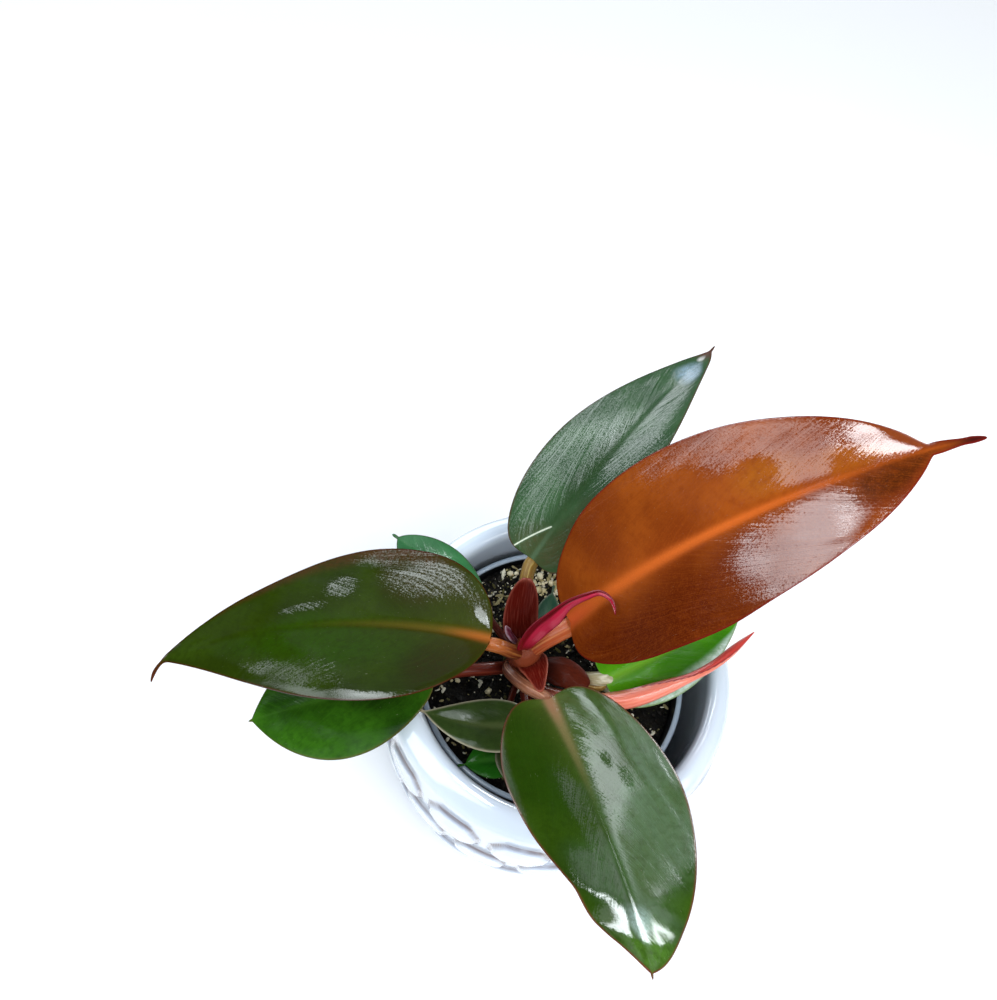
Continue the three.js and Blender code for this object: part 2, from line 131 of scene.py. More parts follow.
def noise(points, seed=0):
    """Smooth noise from -1 to 1 at points, one change of sign about every unit."""
    points = np.asarray(points, float)
    low = np.floor(points).astype(np.int64)
    f = points - low
    f = f * f * (3 - 2 * f)
    total = 0
    for corner in np.ndindex(2, 2, 2):
        weight = np.prod(np.where(np.array(corner) == 1, f, 1 - f), axis=-1)
        total = total + weight * lattice(low + np.array(corner), seed)
    return total * 2 - 1


def catmull(knots, count):
    """count + 1 points of the centripetal curve through the knots."""
    knots = [np.array(k, float) for k in knots]
    last = len(knots) - 1
    out = []
    for i in range(count + 1):
        x = last * i / count
        k = min(int(x), last - 1)
        w = x - k
        b, c = knots[k], knots[k + 1]
        a = knots[k - 1] if k > 0 else 2 * b - c
        d = knots[k + 2] if k + 2 <= last else 2 * c - b
        da, db, dc = (math.sqrt(np.linalg.norm(q - p)) for p, q in ((a, b), (b, c), (c, d)))
        leave = ((b - a) / da - (c - a) / (da + db) + (c - b) / db) * db
        arrive = ((c - b) / db - (d - b) / (db + dc) + (d - c) / dc) * db
        bend, twist = 3 * (c - b) - 2 * leave - arrive, 2 * (b - c) + leave + arrive
        out.append(b + leave * w + bend * w ** 2 + twist * w ** 3)
    return np.array(out)


def width_curve(widths, t):
    """Widths at t, on a smooth curve through the given ones, which lie at even steps."""
    curve = catmull([(w, k, 0) for k, w in enumerate(widths)], 240)
    return np.interp(t * curve[-1, 1], curve[:, 1], curve[:, 0])


def crowded(count, pull):
    """Numbers from 0 to 1 that lie closer together at both ends."""
    x = np.linspace(0, 1, count + 1)
    return x - np.sin(TURN * x) / TURN * pull


def sampled(x, s, line):
    """Points at x of a line whose points are given at s."""
    return xyz(*(np.interp(x, s, line[:, k]) for k in range(3)))


def turns(sides):
    return np.linspace(0, TURN, sides, endpoint=False)


def carried_up(path, last_up):
    """Up vectors along a path that twist as little as they can, ending in last_up."""
    along = unit(np.gradient(path, axis=0))
    ups = [last_up]
    for i in range(len(path) - 2, -1, -1):
        up = ups[-1] - along[i] * np.dot(ups[-1], along[i])
        ups.append(unit(up))
    return np.array(ups[::-1])


# Meshes

class Shape:
    """Vertices, faces and attributes of one mesh while it is put together."""

    def __init__(self):
        self.points, self.faces, self.slots = [], [], []
        self.attributes = {"leaf": [], "vein": [], "mask": []}

    def add(self, points, faces, slot=0, **attributes):
        start = sum(len(p) for p in self.points)
        points = np.asarray(points, float).reshape(-1, 3)
        self.points.append(points)
        self.faces += [[start + i for i in f] for f in faces]
        self.slots += [slot] * len(faces)
        for key, parts in self.attributes.items():
            parts.append(np.asarray(attributes.get(key, np.zeros((len(points), 3))), float).reshape(-1, 3))

    def add_sheet(self, top, bottom, p, v, vein, mask, rooted=False):
        """A thin sheet of an upper and a lower grid that share their side edges. Its last row shrinks to a
        point. So does its first one, unless it is rooted, where a strip closes it."""
        rows, count = p.shape[0] - (1 if rooted else 2), p.shape[1]
        upper = np.arange(rows * count).reshape(rows, count)
        lower = upper.copy()
        lower[:, 1:-1] = upper.size + np.arange(rows * (count - 2)).reshape(rows, count - 2)
        first = upper.size + rows * (count - 2)
        last = first if rooted else first + 1
        faces = []
        for grid, flip in ((upper, False), (lower, True)):
            quads = np.stack([grid[:-1, :-1], grid[:-1, 1:], grid[1:, 1:], grid[1:, :-1]], -1).reshape(-1, 4).tolist()
            if not rooted:
                quads += [[first, grid[0, j + 1], grid[0, j]] for j in range(count - 1)]
            quads += [[last, grid[-1, j], grid[-1, j + 1]] for j in range(count - 1)]
            faces += [f[::-1] for f in quads] if flip else quads
        if rooted:
            for j in range(count - 1):
                faces.append(list(dict.fromkeys([upper[0, j], lower[0, j], lower[0, j + 1], upper[0, j + 1]])))
        body = slice(0 if rooted else 1, -1)
        ends = [-1] if rooted else [0, -1]

        def gather(over, under):
            tips = over[ends, count // 2]
            return np.concatenate([over[body].reshape(-1, 3), under[body, 1:-1].reshape(-1, 3), tips])

        self.add(
            gather(top, bottom), faces, leaf=gather(xyz(p, v, 1), xyz(p, v, -1)), vein=gather(vein, vein),
            mask=gather(mask, mask),
        )

    def piece(self, name, *materials, smooth=True):
        """The finished mesh object, in metres."""
        mesh = bpy.data.meshes.new(name)
        mesh.from_pydata((np.concatenate(self.points) * MM).tolist(), [], self.faces)
        for key, parts in self.attributes.items():
            layer = mesh.attributes.new(key, "FLOAT_VECTOR", "POINT")
            layer.data.foreach_set("vector", np.concatenate(parts).astype(np.float32).ravel())
        for material in materials:
            mesh.materials.append(material)
        mesh.polygons.foreach_set("material_index", np.array(self.slots, np.int32))
        mesh.polygons.foreach_set("use_smooth", np.full(len(mesh.polygons), smooth))
        mesh.update()
        piece = bpy.data.objects.new(name, mesh)
        bpy.context.scene.collection.objects.link(piece)
        return piece


def solid(name, points, faces, material, **attributes):
    shape = Shape()
    shape.add(points, faces, **attributes)
    return shape.piece(name, material)


def place(piece, slot, *nodes):
    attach(piece, "root")
    if nodes:
        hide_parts(*nodes)


def ring_faces(rings, sides, flip=False):
    """Quads between rings of equal size, and a fan at each end."""
    faces = []
    first, last = rings * sides, rings * sides + 1
    turned = [(k, (k + 1) % sides) for k in range(sides)]
    for i in range(rings - 1):
        a, b = i * sides, (i + 1) * sides
        faces += [[a + k, b + k, b + n, a + n] for k, n in turned]
    for k, n in turned:
        faces += [[first, k, n], [last, (rings - 1) * sides + n, (rings - 1) * sides + k]]
    return [f[::-1] for f in faces] if flip else faces


def tube(path, radii, ups, stations, sides, profile):
    """A tube along a path: its points and faces, and the station and the angle of each point. profile(t, angle)
    scales the radius at a station, with angle 0 on the side of the up vector."""
    along = unit(np.gradient(path, axis=0))
    side = unit(np.cross(along, ups))
    up = np.cross(side, along)
    angles = turns(sides)
    points = []
    for i, t in enumerate(stations):
        scale = np.array([profile(t, a) for a in angles])
        offset = np.outer(np.cos(angles) * scale, up[i]) + np.outer(np.sin(angles) * scale, side[i])
        points.append(path[i] + offset * radii[i])
    points = np.concatenate(points + [path[:1], path[-1:]])
    t = np.concatenate([np.repeat(stations, sides), stations[[0, -1]]])
    return points, ring_faces(len(path), sides), t, np.concatenate([np.tile(angles, len(path)), [0, 0]])


def ball(subdivisions):
    """Points and faces of a ball of radius 1."""
    mesh = bmesh.new()
    bmesh.ops.create_icosphere(mesh, subdivisions=subdivisions, radius=1)
    points = np.array([v.co for v in mesh.verts])
    faces = [[v.index for v in f.verts] for f in mesh.faces]
    mesh.free()
    return points, faces


# Material graphs

def rgb(code):
    """Linear colour of a web colour code."""
    levels = [int(code[k:k + 2], 16) for k in (0, 2, 4)]
    return tuple(((c / 255 + 0.055) / 1.055) ** 2.4 if c > 10 else c / 255 / 12.92 for c in levels) + (1.0,)


class Graph:
    """A node material, written as nested calls. A colour may be given as a web colour code."""

    def __init__(self, name, roughness=0.4, **shader):
        self.material = bpy.data.materials.new(name)
        self.material.use_nodes = True
        self.nodes = self.material.node_tree.nodes
        self.links = self.material.node_tree.links
        self.nodes.clear()
        out = self.nodes.new("ShaderNodeOutputMaterial")
        self.shader = self.nodes.new("ShaderNodeBsdfPrincipled")
        self.links.new(self.shader.outputs[0], out.inputs["Surface"])
        self.shade(Roughness=roughness, **shader)

    def set(self, socket, value):
        if isinstance(value, bpy.types.NodeSocket):
            self.links.new(value, socket)
        else:
            socket.default_value = rgb(value) if isinstance(value, str) else value

    def shade(self, **inputs):
        for key, value in inputs.items():
            self.set(self.shader.inputs[key.replace("_", " ")], value)

    def finish(self, colour, *layers, **inputs):
        """The material, with a colour and layers over it. A layer is a tint and its share, or a tint and what
        between() makes its share of. One without a tint is left out."""
        for tint, *share in layers:
            if tint is not None:
                colour = self.mix(self.between(*share) if len(share) > 1 else share[0], colour, tint)
        self.shade(Base_Color=colour, **inputs)
        return self.material

    def node(self, kind, inputs, output=0, **settings):
        """One output of a new node. inputs are pairs of a socket and its value."""
        node = self.nodes.new("ShaderNode" + kind)
        for key, value in settings.items():
            setattr(node, key, value)
        for key, value in inputs:
            self.set(node.inputs[key], value)
        return node.outputs[output]

    def attribute(self, name):
        return self.node("Attribute", (), "Vector", attribute_name=name)

    def place(self):
        return self.node("TexCoord", (), "Object")

    def parts(self, vector):
        node = self.nodes.new("ShaderNodeSeparateXYZ")
        self.set(node.inputs[0], vector)
        return node.outputs

    def vector(self, operation, a, b=(0, 0, 0), output="Vector"):
        return self.node("VectorMath", enumerate((a, b)), output, operation=operation)

    def noise(self, vector, scale, detail=2, roughness=0.5):
        """Noise at one scale, or at one for each direction."""
        if isinstance(scale, tuple):
            vector, scale = self.vector("MULTIPLY", vector, scale), 1
        inputs = {"Vector": vector, "Scale": scale, "Detail": detail, "Roughness": roughness}
        return self.node("TexNoise", inputs.items(), "Fac")

    def cells(self, vector, scale):
        return self.node("TexVoronoi", {"Vector": vector, "Scale": scale}.items(), "Distance")

    def math(self, operation, a, b=0):
        return self.node("Math", enumerate((a, b)), operation=operation)

    def times(self, a, b):
        return self.math("MULTIPLY", a, b)

    def plus(self, a, b):
        return self.math("ADD", a, b)

    def swing(self, value, by):
        """A noise value made to swing round 0."""
        return self.times(self.math("SUBTRACT", value, 0.5), by)

    def between(self, value, low, high, start=0, end=1):
        inputs = enumerate((value, low, high, start, end))
        return self.node("MapRange", inputs, interpolation_type="SMOOTHSTEP")

    def mix(self, share, a, b):
        return self.node("Mix", ((0, share), (6, a), (7, b)), 2, data_type="RGBA")

    def blend(self, share, a, b):
        return self.node("Mix", ((0, share), (2, a), (3, b)), data_type="FLOAT")

    def bump(self, height, distance, strength=1):
        inputs = {"Height": height, "Distance": distance, "Strength": strength}
        return self.node("Bump", inputs.items(), "Normal")


# Leaf shapes. Bases, courses, outlines, folds, arches and stalks are those of the part's source. Only the scene
# has the rest: rib is the midrib's width, where it starts and ends to fade and what is left of it, glow how far
# the colour beside it reaches, flare how much the stalk swells at the blade, wave how far the margin waves, lay how
# far the side veins lean at the base and further on. trim narrows one side of the blade, open flattens its fold
# near the tip, taper widens the start of its tail, and crease is a fine pale line between two places.

LEAF = dict(
    oval=(0.5, 0.85), lobe=2.5, tail=3, tailWidth=1.4, arch=12, lopsided=0, hook=0, veer=0, roll=(0, 0), stalk=3,
    fine=(90, 44), rib=(1.5, 0.1, 0.8, 0.2), glow=0.3, flare=1, wave=0.5, lay=(0.35, 1.6), open=0, taper=0,
    trim=None, crease=None,
)
LEAVES = {
    "leaf_sun": dict(
        hook=-4, fine=(150, 72), base=(-1.9, 4.1, 138.7), heading=19, veer=4, rise=69, bend=63,
        roll=(-8, -2), length=152.5, width=61, oval=(0.57, 0.73), lobe=3.2, tail=16, tailWidth=2.6,
        fold=(20, 13), arch=6.5, stalk=6, foot=117, via=[(-8.7, -0.4, 129)], rib=(2.9, 0.45, 0.85, 0.12),
        glow=0.6, flare=1.4, wave=0.9, lay=(0.8, 2.2), taper=1.5,
    ),
    "leaf_left": dict(
        lopsided=-0.02, hook=66, fine=(150, 72), base=(-27.9, -6.9, 135.7), heading=176, veer=28,
        rise=-6.6, bend=30.5, roll=(-13, -1), length=136, width=62.5, oval=(0.47, 1.14), lobe=0, tail=8,
        tailWidth=1.6, fold=(22, -5), arch=14, stalk=5, foot=119, via=[(-20.5, -6.7, 129)],
        rib=(1.9, 0, 0.55, 0), glow=0.2, trim=(0.6, 1, 0.17, 0.085), flare=1.2,
    ),
    "leaf_front": dict(
        hook=-9, fine=(150, 72), base=(-4.6, -21.8, 130.3), heading=-64, veer=-11.5, rise=33, bend=-1.5,
        roll=(-3, 20.5), length=110.7, width=54.5, oval=(0.61, 0.78), lobe=5.9, tail=2, tailWidth=1.2,
        fold=(15, 16), arch=9, stalk=4.8, foot=107, via=[(-19, -7.9, 114), (-16.2, -12.8, 119),
        (-11.4, -17.6, 125)], rib=(1.7, 0.05, 0.5, 0), glow=0.3, open=13, lay=(1, 2.4),
    ),
    "leaf_back": dict(
        lopsided=-0.02, hook=14.5, fine=(150, 72), base=(-18.2, 29.1, 130.1), heading=62, veer=-9.5,
        rise=36, bend=35, roll=(7.5, 37.5), length=106, width=44.3, oval=(0.52, 0.88), lobe=4.1,
        fold=(16, 13), arch=12.7, stalk=5, foot=104, via=[(-17, 10, 111), (-18.5, 21, 121)],
        rib=(0.7, 0.02, 0.2, 0.1), glow=0.2, lay=(1.2, 3.2), flare=1.25, crease=((0.03, -0.9),
        (0.13, -0.06)),
    ),
    "leaf_low_left": dict(
        oval=(0.78, 0.89), tail=1.5, roll=(0, 1), stalk=5, base=(-45.7, -15.6, 114), heading=201, rise=-10,
        bend=17.5, length=70.5, width=47, fold=(12, 7), foot=97, via=[(-25.3, -7.5, 109),
        (-35.9, -12, 113)],
    ),
    "leaf_back_left": dict(
        oval=(0.55, 0.71), veer=-2, base=(-36.2, 16.4, 113.9), heading=152, rise=7, bend=18, length=40.7,
        width=20.6, fold=(11, 10), foot=100, via=[(-25, 8, 108)],
    ),
    "leaf_low_right": dict(
        oval=(0.46, 0.9), veer=2, roll=(-1, 0), stalk=4.4, base=(16.6, -5.3, 112), heading=35, rise=11.5,
        bend=18, length=60.5, width=33, fold=(12, 10), foot=103, via=[(2, -5, 108.5)],
    ),
    "leaf_inner_front": dict(
        oval=(0.46, 0.96), veer=-35, base=(-9.1, -25.1, 107.9), heading=202.5, rise=13, bend=16, length=41,
        width=19.5, fold=(11, 9), foot=99, via=[(-11, -15, 105.5)],
    ),
    "leaf_inner_low": dict(
        veer=-1, stalk=2.6, base=(-12.9, -34.7, 96.8), heading=202.6, rise=6, bend=14, length=19,
        width=14.8, fold=(12, 10), foot=91.5, via=[(-15.5, -18, 94)],
    ),
    "leaf_inner_dark": dict(
        stalk=2.6, base=(-9, -30.5, 103.5), heading=273, rise=10, bend=16, length=21, width=19,
        fold=(12, 10), foot=95, via=[(-8.8, -16, 100)],
    ),
    "leaf_inner_back": dict(
        stalk=2.4, base=(-8.1, 12, 108), heading=88, rise=30, bend=10, length=17, width=9.5, fold=(14, 10),
        foot=96, via=[(-9.5, 7, 103)],
    ),
}


def midrib(leaf, steps=480):
    """Functions of the fraction s along a leaf: point, along, side and up."""
    s = np.linspace(0, 1, steps + 1)

    def angles(s):
        rise = np.radians(leaf["rise"] - leaf["bend"] * s ** 1.4)
        az = np.radians(leaf["heading"] + leaf["veer"] * s + leaf["hook"] * np.maximum(0, (s - 0.9) / 0.1))
        return rise, az

    def vector(rise, az):
        return xyz(np.cos(rise) * np.cos(az), np.cos(rise) * np.sin(az), np.sin(rise))

    walk = vector(*angles((s[1:] + s[:-1]) / 2)) * leaf["length"] / steps
    point = np.array(leaf["base"]) + np.concatenate([np.zeros((1, 3)), np.cumsum(walk, 0)])
    rise, az = angles(s)
    along, lift = vector(rise, az), vector(rise + math.pi / 2, az)
    across = np.cross(along, lift)
    roll = np.radians(leaf["roll"][0] + (leaf["roll"][1] - leaf["roll"][0]) * s)[:, None]
    side = across * np.cos(roll) + lift * np.sin(roll)
    up = lift * np.cos(roll) - across * np.sin(roll)

    def at(x):
        x = np.asarray(x, float)
        inside = np.clip(x, 0, 1)
        found = [sampled(inside, s, line) for line in (point, along, side, up)]
        found[0] = found[0] + np.minimum(x, 0)[..., None] * leaf["length"] * along[0]
        return found

    return at


def half_width(leaf, p):
    a, b = leaf["oval"]
    peak = a / (a + b)
    q = np.clip(p / (1 - leaf["tail"] / leaf["length"]), 0, 1)
    oval = leaf["width"] / 2 * q ** a * (1 - q) ** b / (peak ** a * (1 - peak) ** b)
    tail = leaf["tailWidth"] / 2 * np.sqrt(np.clip((1 - p) / 0.03, 0, 1)) * p ** 4
    tail = tail * (1 + leaf["taper"] * step(6, 16, (1 - p) * leaf["length"]))
    return np.cbrt(oval ** 3 + tail ** 3)


def blade_points(leaf, rib, p, v):
    """Middle surface of the blade, with the crease at the midrib rounded off."""
    reach = 0.07
    back = leaf["lobe"] / leaf["length"] * p / reach * np.exp(1 - p / reach) * np.abs(v) ** 1.5
    point, _, side, up = rib(p - back)
    w = half_width(leaf, p) * (1 + np.sign(v) * leaf["lopsided"])
    if leaf["trim"]:
        middle, trimmed_side, spread, share = leaf["trim"]
        w = w * (1 - share * bell((p - middle) / spread) * (np.sign(v) == trimmed_side))
    soft = CREASE / np.maximum(w, CREASE)
    start, end = leaf["fold"]
    fold = np.radians(start + (end - start) * p - leaf["open"] * step(0.77, 0.87, p))
    arch = math.radians(leaf["arch"]) + 1e-6
    out = w * (np.sin(fold) - np.sin(fold - arch * np.abs(v))) / arch
    reached = np.sqrt(v ** 2 + soft ** 2) - soft
    lift = w * (np.cos(fold - arch * reached) - np.cos(fold)) / arch
    return point + side * (np.sign(v) * out)[..., None] + up * lift[..., None]


def stem_at(t):
    return STEM_FOOT + (STEM_HEAD - STEM_FOOT) * t


def vein_places(leaf, p, v):
    """Where a point lies in the pattern of side veins: which vein, and how far along it, in centimetres."""
    w = np.maximum(half_width(leaf, p), 0.3)
    off = np.abs(v) * w
    low, high = leaf["lay"]
    lean = low + (high - low) * step(0.02, 0.45, p)
    start = p * leaf["length"] - lean * (0.6 * off + 0.8 * off ** 2 / (leaf["width"] / 2))
    return xyz(start / 10, v * w / 10, np.sign(v) * 3)


def segment_distance(x, y, start, end):
    """Distance of points from a straight segment in the plane."""
    run_x, run_y = end - start
    along = np.clip(((x - start[0]) * run_x + (y - start[1]) * run_y) / (run_x ** 2 + run_y ** 2), 0, 1)
    return np.hypot(x - start[0] - along * run_x, y - start[1] - along * run_y)


def grid_normals(middle, shrinks):
    """Normals of a grid of points. A row that shrinks to a point takes those of its neighbour."""
    normal = np.cross(np.gradient(middle, axis=1), np.gradient(middle, axis=0))
    for row, neighbour in shrinks:
        normal[row] = normal[neighbour]
    return unit(normal)


def grow_leaf(name, leaf, materials):
    rib = midrib(leaf)
    rows, columns = leaf["fine"]
    length, seed = leaf["length"], sum(map(ord, name))
    half = crowded(columns // 2, 0.6)
    p, v = np.meshgrid(crowded(rows, 0.6) ** 1.3, np.concatenate([-half[::-1], half[1:]]), indexing="ij")
    middle = blade_points(leaf, rib, p, v)
    normal = grid_normals(middle, ((0, 1), (-1, -2)))
    w = half_width(leaf, p)
    off = v * w
    places = vein_places(leaf, p, v)

    # Low swells of the blade, ridges between the side veins, and a shallow channel over the midrib.
    beside = step(0.5, 4, np.abs(off))
    inner = step(0, 5, w * (1 - np.abs(v))) * step(0, 0.05, p) * (0.15 + 0.85 * beside)
    swell = 0.5 * noise(xyz(p * length / 24, off / 15, 0), seed) * inner
    swell += 0.09 * noise(xyz(p * length / 8, off / 6, 5), seed) * inner
    ridges = 0.13 * noise(places * (1.1, 0.35, 1), seed + 1) * inner * beside
    wave = leaf["wave"] * noise(xyz(p * length / 17, np.sign(v) * 9, 0), seed + 2)
    wave = wave * np.abs(v) ** 3 * step(0.02, 0.2, p) * step(1, 0.9, p)
    channel = -0.3 * bell(off / 1.5) * (1 - step(0.3, 0.95, p))
    middle = middle + normal * (swell + wave)[..., None]
    thick = BLADE / 2 * np.sqrt(np.clip(1 - np.abs(v) ** 10, 0, 1)) * np.clip(w / 0.9, 0, 1)
    keel = leaf["stalk"] * 0.12 * (1 - p) * bell(off / 1.2)
    top = middle + normal * (thick + ridges + channel)[..., None]
    bottom = middle - normal * (thick - ridges * 0.8 + keel)[..., None]

    wide, fade_from, fade_to, left = leaf["rib"]
    rib_width = 0.35 + wide * (1 - p) ** 1.2
    core = np.exp(-np.abs(off / rib_width) ** 2.6) * (1 - (1 - left) * step(fade_from, fade_to, p))
    if leaf["crease"]:
        ends = [np.array([a * length, b * float(half_width(leaf, a))]) for a, b in leaf["crease"]]
        core = np.maximum(core, 2 * bell(segment_distance(p * length, off, *ends) / 0.5))
    glow = np.exp(-np.abs(off) / (2 + 5 * (1 - p))) * np.exp(-p / leaf["glow"])
    margin = bell((1 - np.abs(v)) * w / 0.55)

    shape = Shape()
    shape.add_sheet(top, bottom, p, v, places, xyz(core, glow, margin))
    add_stalk(shape, leaf, rib)
    return shape.piece("fine_" + name, *materials)


def add_stalk(shape, leaf, rib):
    """The stalk from inside the stem to the blade, then on under the blade as the keel of its midrib."""
    foot = stem_at((leaf["foot"] - STEM_FOOT[2]) / (STEM_HEAD[2] - STEM_FOOT[2]))
    thick, flare = leaf["stalk"], leaf["flare"]
    point, along, _, up = (a[0] for a in rib(np.zeros(1)))
    end = point + up * (0.1 - thick * 0.42 * flare)
    path = catmull([foot, *leaf["via"], end - along * thick * 0.6, end], 48)
    ups = carried_up(path, up)
    radii = np.linspace(thick * 0.52, thick * 0.42 * flare, len(path))
    s = np.linspace(KEEL_FROM, KEEL_TO, 40)
    centre, _, _, rib_up = rib(s)
    keel = np.interp(s, [0, 0.08, 0.25, KEEL_TO], [thick * 0.4 * flare, thick * 0.34, thick * 0.24, 0.35])
    keel_path = centre + rib_up * (np.interp(s, [0, 0.05], [0, -0.36]) - keel)[:, None]
    stations = np.concatenate([np.linspace(0, 1, len(path)), 1 + s])
    path = np.concatenate([path, keel_path])

    def profile(t, angle):
        turn = (angle + math.pi) % TURN - math.pi
        depth = 0.2 * (1 - step(0.9, 1.1, t))
        return 1 - depth * bell(turn / 0.42) + 0.05 * depth * math.cos(3 * turn)

    ups, radii = np.concatenate([ups, rib_up]), np.concatenate([radii, keel])
    points, faces, t, angle = tube(path, radii, ups, stations, STALK_SIDES, profile)
    where = xyz(t, np.sin(angle / 2), np.cos(angle))
    shape.add(points, faces, 1, leaf=where, vein=xyz(t * 2, np.cos(angle), np.sin(angle)))


def leaf_material(name, dark, light, rib, margin, under, glow=None, tip=None, root=None, speck=0.3, zones=(),
                  gloss=0.36, grain=1, wax=0.12, shine=((0.4, 0.3, 0.4, 0.6, 0.5),), streaky=1.4, grainy=0.7):
    """Waxy leaf. dark and light are mottled over the blade, rib and glow colour the midrib and the blade
    beside it, root the midrib where it leaves the stalk, margin and tip the edge and the end. Each zone is a
    soft patch: its centre along and across the leaf, its reach in both, its colour and its share. Some zones
    are painted sheen, painted highlights or painted shade. wax is how glossy the blade is, and each shine is a
    patch rubbed glossier: its centre, its reach and how much of it shines. streaky breaks the shine up along
    the veins, and grainy into specks."""
    g = Graph(name, Coat_Roughness=0.07, Coat_IOR=1.5, Specular_IOR_Level=0, IOR=1.45)
    place_in, veins, where = g.attribute("leaf"), g.attribute("vein"), g.place()
    p, across_leaf, face = g.parts(place_in)
    core, near, edge = g.parts(g.attribute("mask"))
    streaks = g.noise(veins, (11, 0.9, 1), 3, 0.6)
    fine = g.noise(veins, (24, 2.2, 1), 3, 0.65)
    specks = g.noise(where, 1700, 3, 0.7)
    cloud = g.noise(where, 50)
    mottle = g.noise(where, 420, 3, 0.6)
    crumb = g.noise(veins, 22, 3, 0.7)

    def patch(along, across, reach, spread, fray):
        """How far out in a patch a point lies, with the patch's edge frayed by the cloud."""
        offset = g.vector("MULTIPLY", g.vector("ADD", place_in, (-along, -across, 0)), (1 / reach, 1 / spread, 0))
        return g.plus(g.vector("LENGTH", offset, output="Value"), g.swing(cloud, fray))

    height = g.plus(g.plus(g.times(streaks, 0.7), g.times(fine, 0.35)), g.times(crumb, 0.12))
    worn = 0
    for *spot, share in shine:
        worn = g.blend(g.between(patch(*spot, 0.7), 0.35, 1.15, 1, 0), worn, share)
    for value, by in ((streaks, streaky), (fine, streaky * 0.7), (specks, grainy * 2)):
        worn = g.plus(worn, g.swing(value, by))
    beside = g.between(g.math("ABSOLUTE", across_leaf), 0.02, 0.12, 0.15, 1)
    beside = g.math("MAXIMUM", beside, g.between(p, 0.74, 0.8))
    sparkle = g.plus(g.times(height, 0.4 * streaky), g.times(specks, grainy * 0.4))
    g.shade(
        Coat_Weight=g.times(g.between(worn, 0.34, 0.74, wax, 1), beside),
        Coat_Normal=g.bump(sparkle, 0.00011 * grain, 0.6),
    )
    return g.finish(
        dark, (light, cloud, 0.3, 0.7),
        # Zones: the leaf's own colours, and on some leaves painted sheen, highlights or shade.
        *((tint, patch(*spot, 0.9), 0.3, 1.15, share, 0) for *spot, tint, share in zones),
        (dark, mottle, 0.4, 0.75, 0, 0.5), (light, specks, 0.45, 0.8, 0, grainy * 0.5),
        (light, streaks, 0.45, 0.75, 0, 0.34), (dark, fine, 0.4, 0.7, 0, 0.3),
        (glow, g.times(near, g.between(crumb, 0.2, 0.8, 0.55, 1))),
        (rib, g.times(core, g.between(crumb, 0.2, 0.75, 0.6, 1))),
        (root, g.times(core, g.between(p, 0.02, 0.15, 0.9, 0))), (tip, p, 0.9, 0.975),
        (PALE_CREASE, core, 1.1, 1.7), (margin, g.times(edge, 0.85)),
        (PALE_DOT, g.cells(veins, 5.5), 0.03, 0.045, speck, 0), (g.mix(core, under, rib), face, -0.2, 0.2, 1, 0),
        Normal=g.bump(height, 0.00022 * grain, 0.6), Roughness=g.between(mottle, 0.3, 0.7, gloss, gloss + 0.1),
    )


def stalk_material(name, root, end, stripe):
    g = Graph(name, 0.32, Coat_Weight=0.22, Coat_Roughness=0.15, Specular_IOR_Level=0.08)
    t = g.parts(g.attribute("leaf"))[0]
    around = g.attribute("vein")
    lines = g.noise(around, (0.8, 5, 5), 3, 0.6)
    spots = g.noise(around, (8, 3, 3), 3, 0.6)
    return g.finish(
        root, (end, t, 0.15, 0.95), (stripe, lines, 0.45, 0.75, 0, 0.55), (root, spots, 0.5, 0.8, 0, 0.4),
        Normal=g.bump(lines, 0.0003, 0.5),
    )


# Colours of each leaf

